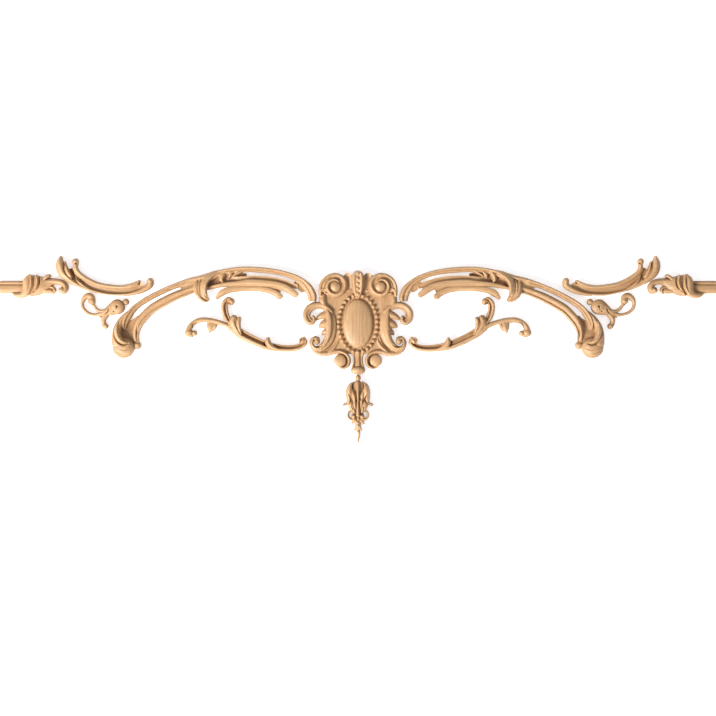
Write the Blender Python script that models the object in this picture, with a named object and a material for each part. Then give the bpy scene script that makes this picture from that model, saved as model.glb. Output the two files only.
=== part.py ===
"""Carved wooden wall applique: a beaded oval cartouche with a pendant, two long reeded arms, and pairs of
vines, troughs, scrolls and moulded rod ends, all flat on the wall plane y = 0.

The design is in millimetres: x along the wall, z up, heights off the wall towards -Y. Each piece is a relief
made of strokes. A stroke is a band, a boss or a flat ground with a height of its own, the highest stroke
shows at each place, and grooves and bowls are then cut into it.
"""
import copy
import math

import bpy
import numpy as np
from mathutils import Vector
from mathutils.geometry import delaunay_2d_cdt

MM = 0.001
DRAFT = 4.0
PATH_STEP = 1.5
CHORD_ERROR = 0.8
LONGEST_STEP = 28.0
LOWEST_STEP = 4.0
WIDEST_STEP = 4.0
MERGE = 0.2
EXACT = 1e-5
TINY = 1e-6
THINNEST = 2.0
SLENDEREST = 0.3
CREASE_INSET = 0.9
NARROW = 4.5
REACH = 8.0
RUN = 4000
FAR = 50.0
SHOWN = 0.25
OVERLAP = 0.4
TOUCHING = 0.02
WELL_INSIDE = 0.6
SHARP_ANGLE = 38.0
WOOD = (0.72, 0.46, 0.25, 1.0)
ROUGHNESS = 0.62

ARM_RIM = 19.0
REED_TOP = 18.0
FLOOR_TOP = 8.0
VINE_TOP = 15.0
TROUGH_RIM = 15.0
GROUND = 9.0
OVAL_MIDDLE = 0.6
OVAL_X, OVAL_Z = 30.0, 48.6
BEAD_RING_X, BEAD_RING_Z = 38.4, 57.0
BEAD = 4.2
BEADS = 30
ROD_Z = 73.3
ROD_HALF = 12.7
ROD_END = 716.0


def curve_table(points, count=129):
    """A smooth curve through (q, height share) points, as a table over q = -1..1."""
    q, f = (np.array(column, float) for column in zip(*points))
    step = np.diff(q)
    slope = np.diff(f) / step
    grad = np.concatenate([[slope[0]], np.zeros(len(q) - 2), [slope[-1]]])
    for i in range(1, len(q) - 1):
        if slope[i - 1] * slope[i] > 0:
            grad[i] = 2 * slope[i - 1] * slope[i] / (slope[i - 1] + slope[i])
    at = np.linspace(-1, 1, count)
    k = np.clip(np.searchsorted(q, at) - 1, 0, len(step) - 1)
    t = (at - q[k]) / step[k]
    rise = f[k] * (2 * t**3 - 3 * t**2 + 1) + f[k + 1] * (3 * t**2 - 2 * t**3)
    return rise + step[k] * (grad[k] * (t**3 - 2 * t**2 + t) + grad[k + 1] * (t**3 - t**2))


class Profile:
    """The section across a band: q = -1 is its left edge and q = 1 its right one."""

    def __init__(self, points, lines):
        self.table = curve_table(points)
        self.lines = lines

    def at(self, q):
        return np.interp(q, np.linspace(-1, 1, len(self.table)), self.table)

    def flipped(self):
        other = Profile([(-1, 0), (1, 0)], [-q for q in reversed(self.lines)])
        other.table = self.table[::-1]
        return other


ROUND = Profile([(-1, 0.5), (-0.8, 0.8), (-0.4, 0.96), (0, 1), (0.4, 0.96), (0.8, 0.8), (1, 0.5)], [0])
LEAF = Profile([(-1, 0.66), (-0.55, 0.9), (0, 1), (0.55, 0.9), (1, 0.66)], [0])
REED = Profile(
    [(-1, 0.55), (-0.82, 0.76), (-0.7, 0.74), (-0.45, 0.9), (0, 1), (0.5, 0.97), (0.8, 0.84), (1, 0.5)],
    [-0.7, 0.1],
)
RIM = Profile(
    [(-1, 0.5), (-0.6, 0.72), (-0.35, 0.74), (-0.1, 0.68), (0.15, 0.85), (0.45, 1), (0.75, 0.92),
            (1, 0.62)],
    [-0.15, 0.45],
)
BAND = Profile(
    [(-1, 0.55), (-0.8, 0.85), (-0.62, 0.88), (-0.42, 0.72), (-0.1, 0.93), (0.35, 1), (0.75, 0.9),
            (1, 0.62)],
    [-0.42, 0.2],
)
SCROLL = Profile(
    [(-1, 0.62), (-0.6, 0.97), (-0.25, 1), (0.1, 0.86), (0.4, 0.74), (0.7, 0.84), (0.88, 0.8),
            (1, 0.6)],
    [-0.45, 0.4],
)
SHELL = Profile(
    [(-1, 0.7), (-0.55, 0.98), (-0.1, 1), (0.3, 0.76), (0.55, 0.7), (0.8, 0.66), (1, 0.5)],
    [-0.4, 0.35],
)
COVE = Profile(
    [(-1, 0.6), (-0.85, 0.88), (-0.62, 1), (-0.54, 0.9), (-0.44, 0.38), (-0.15, 0.34), (0.15, 0.52),
     (0.45, 0.86), (0.68, 1), (0.86, 0.9), (1, 0.62)],
    [-0.58, -0.44, 0.1, 0.65],
)
LIP = Profile([(-1, 0.5), (-0.6, 0.72), (0, 0.9), (0.6, 1), (0.86, 0.97), (1, 0.82)], [0.7])
HUSK = Profile([(-1, 0.6), (-0.5, 0.86), (-0.1, 1), (0.3, 0.97), (0.7, 0.88), (1, 0.76)], [-0.1])
RIDGE = Profile([(-1, 0.8), (-0.55, 0.93), (0, 1), (0.55, 0.93), (1, 0.8)], [0])
FLOOR = Profile([(-1, 0.95), (0, 0.8), (1, 0.95)], [])
STEM = Profile(
    [(-1, 0.6), (-0.7, 0.94), (-0.3, 1), (-0.12, 0.88), (0.04, 0.42), (0.4, 0.4), (0.66, 0.72),
            (0.86, 0.84), (1, 0.6)],
    [-0.4, 0.1],
)
BRANCH = Profile(
    [(-1, 0.55), (-0.78, 0.82), (-0.5, 0.86), (-0.28, 0.58), (0, 0.82), (0.35, 1), (0.7, 0.94),
            (1, 0.6)],
    [-0.28, 0.4],
)
ROD = Profile(
    [(-1, 0.55), (-0.8, 0.84), (-0.35, 1), (0.1, 0.94), (0.36, 0.78), (0.44, 0.6), (0.52, 0.78),
            (0.78, 0.8), (0.84, 0.6), (1, 0.55)],
    [-0.7, -0.3, 0.2, 0.44, 0.54, 0.8],
)
STRAP = Profile(
    [(-1, 0.62), (-0.85, 0.85), (-0.55, 0.97), (-0.35, 0.8), (0, 0.76), (0.35, 0.8), (0.55, 0.97),
            (0.85, 0.85), (1, 0.62)],
    [-0.55, 0.55],
)
TAB = Profile(
    [(-1, 0.7), (-0.82, 0.95), (-0.58, 0.72), (-0.4, 0.8), (-0.22, 1), (0.22, 1), (0.4, 0.8),
            (0.58, 0.72), (0.82, 0.95), (1, 0.7)],
    [-0.58, -0.2, 0.2, 0.58],
)


def smooth_path(knots):
    """A Catmull-Rom curve through (x, z, half width, height) knots, all four blended alike."""
    p = np.array(knots, float)
    if len(p) == 2:
        t = np.linspace(0, 1, max(2, int(np.linalg.norm(p[1, :2] - p[0, :2]) / PATH_STEP)) + 1)[:, None]
        return p[0] * (1 - t) + p[1] * t
    p = np.vstack([2 * p[0] - p[1], p, 2 * p[-1] - p[-2]])
    gap = np.maximum(np.linalg.norm(np.diff(p[:, :2], axis=0), axis=1) ** 0.5, 1e-6)
    out = []
    for i in range(1, len(p) - 2):
        steps = max(2, int(np.ceil(gap[i] ** 2 / PATH_STEP)))
        t1 = gap[i - 1]
        t2 = t1 + gap[i]
        t3 = t2 + gap[i + 1]
        t = np.linspace(t1, t2, steps, endpoint=False)[:, None]
        a1 = (t1 - t) / t1 * p[i - 1] + t / t1 * p[i]
        a2 = (t2 - t) / (t2 - t1) * p[i] + (t - t1) / (t2 - t1) * p[i + 1]
        a3 = (t3 - t) / (t3 - t2) * p[i + 1] + (t - t2) / (t3 - t2) * p[i + 2]
        b1 = (t2 - t) / t2 * a1 + t / t2 * a2
        b2 = (t3 - t) / (t3 - t1) * a2 + (t - t1) / (t3 - t1) * a3
        out.append((t2 - t) / (t2 - t1) * b1 + (t - t1) / (t2 - t1) * b2)
    out = np.vstack(out + [p[-2][None]])
    out[:, 2] = np.maximum(out[:, 2], SLENDEREST)
    return out


class Strand:
    """A band along a curve through knots of (x, z, half width, crest height)."""

    def __init__(self, knots, profile, flat=(False, False)):
        self.path = smooth_path(knots)
        self.profile = profile
        self.flat = flat

    def mirrored(self):
        other = copy.copy(self)
        other.path = self.path * [-1, 1, 1, 1]
        other.profile = self.profile.flipped()
        return other

    def measure(self, points):
        """Distance outside the band, place across it and crest height, for each point."""
        a, b = self.path[:-1], self.path[1:]
        along = b - a
        length2 = np.maximum((along[:, :2] ** 2).sum(1), 1e-12)
        out = np.zeros((3, len(points)))
        for lo in range(0, len(points), RUN):
            x, z = points[lo : lo + RUN, 0], points[lo : lo + RUN, 1]
            dx = x[:, None] - a[:, 0]
            dz = z[:, None] - a[:, 1]
            t = np.clip((dx * along[:, 0] + dz * along[:, 1]) / length2, 0, 1)
            apart = np.hypot(dx - t * along[:, 0], dz - t * along[:, 1])
            outside = apart - a[:, 2] - t * along[:, 2]
            row = np.arange(len(x))
            best = outside.argmin(1)
            s = t[row, best]
            side = np.sign(dx[row, best] * along[best, 1] - dz[row, best] * along[best, 0])
            q = side * apart[row, best] / (a[best, 2] + s * along[best, 2])
            distance, height = outside[row, best], a[best, 3] + s * along[best, 3]
            for squared, seg, tip, sign in ((self.flat[0], 0, a[0], -1), (self.flat[1], -1, b[-1], 1)):
                if not squared:
                    continue
                unit = along[seg, :2] / math.sqrt(length2[seg])
                past = sign * ((x - tip[0]) * unit[0] + (z - tip[1]) * unit[1])
                across = (x - tip[0]) * unit[1] - (z - tip[1]) * unit[0]
                beyond = (past > -TINY) & (np.hypot(x - tip[0], z - tip[1]) < tip[2] + REACH)
                distance = np.where(beyond, np.maximum(past, np.abs(across) - tip[2]), distance)
                q = np.where(beyond, across / tip[2], q)
                height = np.where(beyond, tip[3], height)
            out[:, lo : lo + RUN] = distance, q, height
        return out

    def top(self, measured):
        distance, q, crest = measured
        return self.profile.at(np.clip(q, -1, 1)) * crest - DRAFT * np.maximum(distance, 0)

    def box(self, margin):
        low = (self.path[:, :2] - self.path[:, 2:3]).min(0) - margin
        high = (self.path[:, :2] + self.path[:, 2:3]).max(0) + margin
        return low, high

    def stations(self):
        """Places along the path, closer where it bends or its width changes."""
        p = self.path
        keep = [0]
        i = 0
        while i < len(p) - 1:
            j = i + 1
            while j < len(p) - 1 and self.chord_ok(i, j + 1):
                j += 1
            keep.append(j)
            i = j
        return keep

    def chord_ok(self, i, j):
        p = self.path
        span = np.linalg.norm(p[j, :2] - p[i, :2])
        if span > LONGEST_STEP:
            return False
        n0, n1 = self.normal(i), self.normal(j)
        for sign in (-1, 1):
            e0 = p[i, :2] + sign * n0 * p[i, 2]
            e1 = p[j, :2] + sign * n1 * p[j, 2]
            chord = e1 - e0
            size = np.linalg.norm(chord)
            for k in range(i + 1, j):
                e = p[k, :2] + sign * self.normal(k) * p[k, 2] - e0
                if size < TINY or abs(chord[0] * e[1] - chord[1] * e[0]) / size > CHORD_ERROR:
                    return False
        return True

    def normal(self, i):
        p = self.path
        d = p[min(i + 1, len(p) - 1), :2] - p[max(i - 1, 0), :2]
        return np.array([d[1], -d[0]]) / max(np.linalg.norm(d), 1e-9)

    def outline(self):
        """The edge as a closed ring of points, the right side first."""
        p = self.path
        stops = self.stations()
        right = [p[i, :2] + self.normal(i) * p[i, 2] for i in stops]
        left = [p[i, :2] - self.normal(i) * p[i, 2] for i in stops]
        ends = [self.cap(len(p) - 1, 1), self.cap(0, -1)]
        return np.array(right + ends[0] + left[::-1] + ends[1])

    def cap(self, i, sign):
        """The points that round an end off, between its two sides."""
        if self.flat[1 if sign > 0 else 0]:
            return []
        x, z, w = self.path[i, :3]
        n = self.normal(i) * sign
        ahead = np.array([-n[1], n[0]])
        count = 1 if w < 2.2 else 2 if w < 4.6 else 3 if w < 9 else 5
        turns = [math.pi * (k + 1) / (count + 1) for k in range(count)]
        return [np.array([x, z]) + w * (math.cos(t) * n + math.sin(t) * ahead) for t in turns]

    def creases(self):
        """Lines along the band at the places across it that its section names, and which points are clear
        of its sides."""
        p = self.path
        stops = self.stations()
        crests = self.profile.lines if p[:, 2].max() > NARROW else [0]
        for q in crests:
            clear = [(1 - abs(q)) * p[i, 2] > CREASE_INSET for i in stops]
            yield np.array([p[i, :2] + q * self.normal(i) * p[i, 2] for i in stops]), np.array(clear)

    def feet(self):
        """Lines just outside both sides, each with its direction away from the band and its edge height."""
        p = self.path
        stops = self.stations()
        for sign in (1, -1):
            share = self.profile.at(sign)
            away = [sign * self.normal(i) for i in stops]
            yield [(p[i, :2] + n * p[i, 2], n, share * p[i, 3]) for i, n in zip(stops, away)]


class Dome:
    """An oval boss with its own edge height, as a share of its crest."""

    def __init__(self, x, z, rx, rz, crest, edge=0.5, power=2.0, sides=0, rings=None):
        self.x, self.z, self.rx, self.rz, self.crest = x, z, rx, rz, crest
        self.edge, self.power = edge, power
        size = max(rx, rz)
        self.sides = sides or (6 if size < 5 else 8 if size < 10 else 12)
        self.rings = ((0.6,) if size > 6 else ()) if rings is None else rings

    def mirrored(self):
        other = copy.copy(self)
        other.x = -self.x
        return other

    def measure(self, points):
        u, v = points[:, 0] - self.x, points[:, 1] - self.z
        r = np.maximum(np.hypot(u / self.rx, v / self.rz), 1e-9)
        slope = np.hypot(u / self.rx**2, v / self.rz**2) / r
        distance = np.where(r < 1, (r - 1) * min(self.rx, self.rz), (r - 1) / np.maximum(slope, 1e-9))
        return np.array([distance, r, np.full_like(r, self.crest)])

    def top(self, measured):
        distance, r, crest = measured
        bulge = (1 - np.clip(r, 0, 1) ** self.power) ** (1 / self.power)
        return crest * (self.edge + (1 - self.edge) * bulge) - DRAFT * np.maximum(distance, 0)

    def box(self, margin):
        reach = np.array([self.rx + margin, self.rz + margin])
        centre = np.array([self.x, self.z])
        return centre - reach, centre + reach

    def ring(self, share):
        turns = [2 * math.pi * (i + 0.5) / self.sides for i in range(self.sides)]
        centre = np.array([self.x, self.z])
        return [centre + share * np.array([self.rx * math.cos(t), self.rz * math.sin(t)]) for t in turns]

    def outline(self):
        return np.array(self.ring(1.0))

    def creases(self):
        yield np.array([[self.x, self.z]]), np.array([True])
        for share in self.rings:
            line = self.ring(share)
            yield np.array(line + line[:1]), np.full(len(line) + 1, True)

    def feet(self):
        line = []
        for p in self.ring(1.0) + self.ring(1.0)[:1]:
            away = (p - [self.x, self.z]) / [self.rx, self.rz]
            line.append((p, away / np.linalg.norm(away), self.edge * self.crest))
        yield line


class Plate:
    """A level ground inside a smooth closed outline."""

    def mirrored(self):
        other = copy.copy(self)
        other.edge = self.edge * [-1, 1]
        return other

    def __init__(self, corners, crest):
        count = len(corners)
        knots = [(x, z, 1, crest) for x, z in corners]
        self.edge = smooth_path([knots[(i - 1) % count] for i in range(count + 3)])
        start = int(np.linalg.norm(self.edge[:, :2] - corners[0], axis=1)[: len(self.edge) // 2].argmin())
        half = len(self.edge) // 2
        stop = half + int(np.linalg.norm(self.edge[half:, :2] - corners[0], axis=1).argmin())
        self.edge = self.edge[start:stop, :2]
        self.crest = crest

    def measure(self, points):
        a = self.edge
        b = np.roll(a, -1, axis=0)
        along = b - a
        x, z = points[:, :1], points[:, 1:]
        t = (x - a[:, 0]) * along[:, 0] + (z - a[:, 1]) * along[:, 1]
        t = np.clip(t / np.maximum((along**2).sum(1), 1e-12), 0, 1)
        apart = np.hypot(x - a[:, 0] - t * along[:, 0], z - a[:, 1] - t * along[:, 1]).min(1)
        inside = within(points, a)
        return np.array([np.where(inside, -apart, apart), apart, np.full(len(points), self.crest)])

    def top(self, measured):
        distance, _, crest = measured
        return crest - DRAFT * np.maximum(distance, 0)

    def box(self, margin):
        return self.edge.min(0) - margin, self.edge.max(0) + margin

    def outline(self):
        return self.edge[::6]

    def creases(self):
        return []

    def feet(self):
        return []


def within(points, ring):
    """Which points lie inside a closed ring."""
    a = ring
    b = np.roll(ring, -1, axis=0)
    x, z = points[:, :1], points[:, 1:]
    spans = (a[:, 1] > z) != (b[:, 1] > z)
    rise = np.where(b[:, 1] == a[:, 1], 1e-12, b[:, 1] - a[:, 1])
    return (spans & (x < a[:, 0] + (z - a[:, 1]) / rise * (b[:, 0] - a[:, 0]))).sum(1) % 2 == 1


def both_sides(strokes):
    """Each stroke and its mirror image across x = 0."""
    return [copy for stroke in strokes for copy in (stroke, stroke.mirrored())]


def arm():
    """The long arm: an outer rim and an inner band that meet at a clasp, two reeds and a ball foot."""
    rim = [
        (470, -9, 2.8, 19), (469, 4, 5.2, 21), (460.4, 20.4, 6, 21), (433, 42.4, 6, 19.5),
        (394, 63.4, 5.4, ARM_RIM), (354, 79.6, 5.8, ARM_RIM), (334, 83.8, 8.4, ARM_RIM),
        (314, 87.4, 9.4, ARM_RIM), (294, 95, 8, 20), (274, 102.2, 6, ARM_RIM),
        (236, 108.6, 5.6, ARM_RIM), (196, 108, 5.6, ARM_RIM), (160, 103.4, 5.4, ARM_RIM),
        (136, 97, 5.6, ARM_RIM), (120, 90.4, 6, ARM_RIM), (108.6, 82.4, 7, ARM_RIM),
        (100, 72.6, 8, ARM_RIM), (94, 62, 8.2, 18), (91.4, 53, 8, 17), (91.8, 45.4, 7, 16),
    ]
    band = [
        (442, -35, 5.6, 14), (442.4, -20, 6.6, 16), (438.4, -3, 8, 18), (429, 13, 8, 18),
        (419, 23.6, 8.4, 18), (386, 44.8, 7.2, 18), (342, 63.2, 7.2, 18), (316, 73, 7.2, 18),
    ]
    ball = (468, -47.8)
    strokes = [
        Strand(rim, RIM, (False, True)),
        Strand(band, BAND),
        Dome(439.4, -43.4, 7.6, 7.2, 16),
        Strand([(453, -7, 12, 6), (458, -18, 14, 5), (460, -32, 13, 5)], FLOOR),
        Strand([(446, 34, 2.4, 18), (457, 17, 4.8, 20), (466, 3, 6, 22), (476, -9, 7, 24.5),
                (480.4, -22, 8.5, 26), (479, -38, 12, 28)], LEAF),
        Strand([(478.6, 4, 1.4, 22), (480.6, -12, 4, 28), (477.4, -26, 4.6, 31),
                (470.4, -35, 4.6, 32.4), (463, -37, 2.4, 29)], RIDGE),
        Dome(*ball, 21.6, 20.6, 28),
    ]
    clasp = [
        Strand([(324, 90, 2.4, 18), (321, 80, 3.4, 21), (319.8, 68, 3.8, 24), (317, 57, 4, 25.5),
                (310.4, 49.6, 3.8, 25), (302, 46.4, 2.8, 22), (296.6, 48.8, 1.6, 17)], LEAF),
        Strand([(272, 106, 2, 18), (287, 101, 4.6, 21), (299, 93, 7, 24.5), (306, 80.6, 8.4, 27),
                (307, 68, 7.6, 28), (305.6, 57, 4.8, 27), (301, 50, 3, 24), (297, 48, 1.6, 18)], LIP),
    ]
    lobes = [
        Strand([(264, 105, 2.4, 16), (270.4, 98, 5.6, 20), (273.4, 89, 4.4, 20),
                (270, 82.8, 1.6, 15)], LEAF),
        Strand([(248, 105.6, 2, 15), (254.6, 99.4, 4.2, 18.5), (257.4, 91, 1.5, 14)], LEAF),
        Strand([(232, 105, 2.4, 14), (241, 101.4, 3.4, 16.5), (250, 95.6, 1.6, 14)], LEAF),
    ]
    webs = [
        Strand([(352, 73, 2.5, 14), (336, 78.4, 6, 16.5), (318, 86, 9, 18.5), (308, 88, 9, 18)], FLOOR),
        Strand([(302, 81, 11, 5.5), (278, 88, 10, 5.5), (254, 94, 8, FLOOR_TOP),
                (234, 97, 6, FLOOR_TOP)], FLOOR, (True, True)),
        Strand([(236, 92, 4, FLOOR_TOP), (206, 92.6, 4, FLOOR_TOP), (176, 90, 4, FLOOR_TOP),
                (152, 84.4, 4, FLOOR_TOP), (134, 76.6, 4, FLOOR_TOP)], FLOOR),
        Strand([(124, 83, 3, 10), (116, 76, 6, 11), (110, 68.4, 5.6, 11)], FLOOR),
    ]
    reeds = [
        Strand([(304, 70, 3, 14), (286, 74.6, 3.8, 15), (266, 78.2, 4.6, 16), (236, 80.6, 6, 17),
                (216, 82.4, 7, REED_TOP), (192, 81.4, 6.8, REED_TOP), (172, 79.4, 6.8, REED_TOP),
                (156, 76.4, 6.6, REED_TOP), (142, 70.8, 6.6, REED_TOP), (132, 64.4, 6.4, REED_TOP),
                (124.6, 58.6, 5.4, 17)], REED),
        Strand([(282, 50.6, 2.4, 10), (274, 58.6, 5, 13), (256, 66.8, 5.4, 14), (236, 69.6, 5, 14),
                (216, 70.6, 5, 14), (196, 69.8, 5, 14), (176, 66.4, 5.2, 14), (163, 60.8, 5.4, 15),
                (156.4, 55, 5.8, 16)], REED),
    ]
    return strokes + clasp + lobes + webs + reeds


def trough():
    """The hollow boat-shaped leaf above the rod end: a coved band with a curled leaf and a scroll on it."""
    cove = [
        (574, 111, 11, 14), (569, 101, 12.6, 14.5), (559, 92, 12.8, TROUGH_RIM),
        (542, 81.6, 12, TROUGH_RIM), (520, 72.8, 11.2, TROUGH_RIM), (496, 68.2, 11.2, TROUGH_RIM),
        (472, 67.2, 10.4, TROUGH_RIM), (452, 69.2, 10.2, TROUGH_RIM), (436, 74.4, 8.4, 13),
    ]
    return [
        Strand(cove, COVE, (True, True)),
        Strand([(466, 57.8, 2, 12), (452, 60.4, 3.6, 14.5), (436, 65, 5, 15.5), (424, 71, 6, 16),
                (415.4, 78, 6.4, 17), (414, 85, 6, 17)], LEAF),
        Dome(415, 86, 6.6, 6.6, 19),
        Strand([(470, 76, 2, 13.5), (456, 77.4, 3, 15), (446, 80.6, 3.4, 15),
                (437, 85.4, 2.8, 14)], ROUND),
        Strand([(456, 71, 6, 5.5), (444, 74, 8, 8), (434, 76, 7, 11), (428, 73, 6, 13)], FLOOR),
        Dome(564, 124.6, 6.6, 6.6, 19),
        Strand([(563.4, 122, 5.4, 18), (563.4, 112, 4.4, 17), (557, 101.6, 4, 16), (546, 92, 3.6, 15),
                (532, 84.4, 2.8, 14), (516, 80, 2, 13)], LEAF),
        Strand([(593.6, 133, 3.2, 19), (595, 122, 7.4, 22), (593.4, 112, 9.4, 22), (588, 101, 9.4, 21),
                (577, 90.4, 7.6, 19), (564, 80.4, 5, 16.5), (545, 71, 3, 15),
                (522, 63.6, 2, 13.5)], LEAF),
        Strand([(585, 124, 1.5, 17), (582, 112, 3, 21), (577, 101, 3.4, 20.5),
                (569.4, 90.6, 1.4, 15)], LEAF),
        Strand([(565, 95.6, 1.2, 13), (559, 86, 3, 16), (548, 76.4, 3.2, 15),
                (534, 69, 2, 13.5)], LEAF),
    ]


def comma():
    """The small scroll: a ring with a rounded bud, a bead at its tip and a foot."""
    loop = [
        (530.4, 44, 6, 13), (532, 53, 6.4, 14), (539.4, 56.4, 6, 14), (547.6, 51, 5.2, 13),
        (551.6, 41, 3.8, 11), (548.4, 30, 3.6, 10), (539, 21.6, 3.4, 10), (526, 18, 3.2, 10),
        (514, 20, 4.4, 12), (504, 23, 6.8, 14), (492, 29, 11.6, 16), (482, 34, 15.2, 17),
    ]
    return [
        Strand(loop, ROUND),
        Dome(481, 34, 15.6, 15.2, 18),
        Dome(532.4, 46, 7.4, 7.4, 16),
        Dome(463.6, 44, 6.4, 6.4, 12),
        Strand([(531, 41, 4, 12), (526.4, 35, 3.2, 10), (521, 28.4, 3.2, 10), (512, 25.4, 3.6, 12),
                (502, 27, 4, 14)], ROUND),
        Strand([(503, 19, 6.4, 13), (508.4, 10, 4.6, 12), (508, 2, 4, 11), (505, -4, 5.2, 11)], ROUND),
        Dome(504.2, -4.6, 5.9, 5.9, 14),
        Dome(514, 14, 3.4, 3, 10),
    ]


def vine():
    """The wavy vine under the arm: a channelled stem, two curled branches and the leaf that wraps their fork."""
    stem = [
        (251, -7, 8.8, VINE_TOP), (236, -19, 8.4, VINE_TOP), (218, -29.6, 7.8, VINE_TOP),
        (200, -38, 7.4, VINE_TOP), (184, -44.4, 7, VINE_TOP), (166, -47.6, 6.8, 14),
        (148, -48.8, 7, 14), (130, -48.6, 6.6, 14), (115, -44.6, 6.2, 14), (106.8, -37, 5.6, 14),
        (108.4, -30, 4.4, 14),
    ]
    return [
        Strand(stem, STEM),
        Dome(111.4, -33, 5.4, 5.4, 17),
        Strand([(156, -51, 1.6, 14), (167, -48, 3.6, 17), (176, -42, 5.6, 19), (180, -35, 5.8, 20),
                (179.4, -29, 3.2, 19)], LEAF),
        Strand([(254, 0, 4, 14), (262.4, 14, 6.4, 15), (266.4, 28, 7, 16), (266, 40, 6.8, 17),
                (259, 48.4, 5.6, 17), (252, 46, 4.8, 16)], BRANCH),
        Dome(253.4, 44.6, 7.2, 7.2, 19),
        Strand([(236, -22, 2.4, 16), (243.6, -9, 6.6, 19), (249, 4, 8.4, 20),
                (247.6, 11, 7, 19)], LEAF),
        Strand([(233, -20, 2, 16), (237.4, -6, 3.6, 20), (238.4, 5, 4.4, 21),
                (236.6, 11, 3.8, 20)], LEAF),
        Strand([(250, -9, 5.2, 14), (264, -2, 5, 14), (282, 4.4, 4.8, 14), (300, 7.6, 5.2, 14),
                (316, 7.4, 5.4, 14), (329, 2, 5.2, 14), (336.8, -8, 5.8, 15), (338.4, -18, 6.4, 15),
                (333, -22.6, 5, 15)], ROUND),
        Dome(337.6, -17.6, 8.6, 8.6, 17),
        Dome(326.4, -18.6, 5.4, 5.6, 17),
        Strand([(293, 3, 9, 12.5), (294, -6, 8, 13.5), (295.4, -12, 4.4, 12.5),
                (297.4, -17.4, 1.6, 9)], ROUND),
        Strand([(284, 2, 4, 12), (286.6, -6, 4, 13), (289.6, -13.4, 1.4, 10)], LEAF),
    ]


def beads():
    """A ring of beads at an even pitch along an oval."""
    fine = 2000
    turns = 2 * math.pi * (np.arange(fine) + 0.5) / fine
    run = np.cumsum(np.hypot(BEAD_RING_X * np.sin(turns), BEAD_RING_Z * np.cos(turns)))
    even = np.interp((np.arange(BEADS) + 0.5) * run[-1] / BEADS, run, turns)
    spots = [(BEAD_RING_X * math.cos(t), OVAL_MIDDLE + BEAD_RING_Z * math.sin(t)) for t in even]
    return [Dome(x, z, BEAD, BEAD, 17, edge=0.62, sides=6, rings=()) for x, z in spots]


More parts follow.
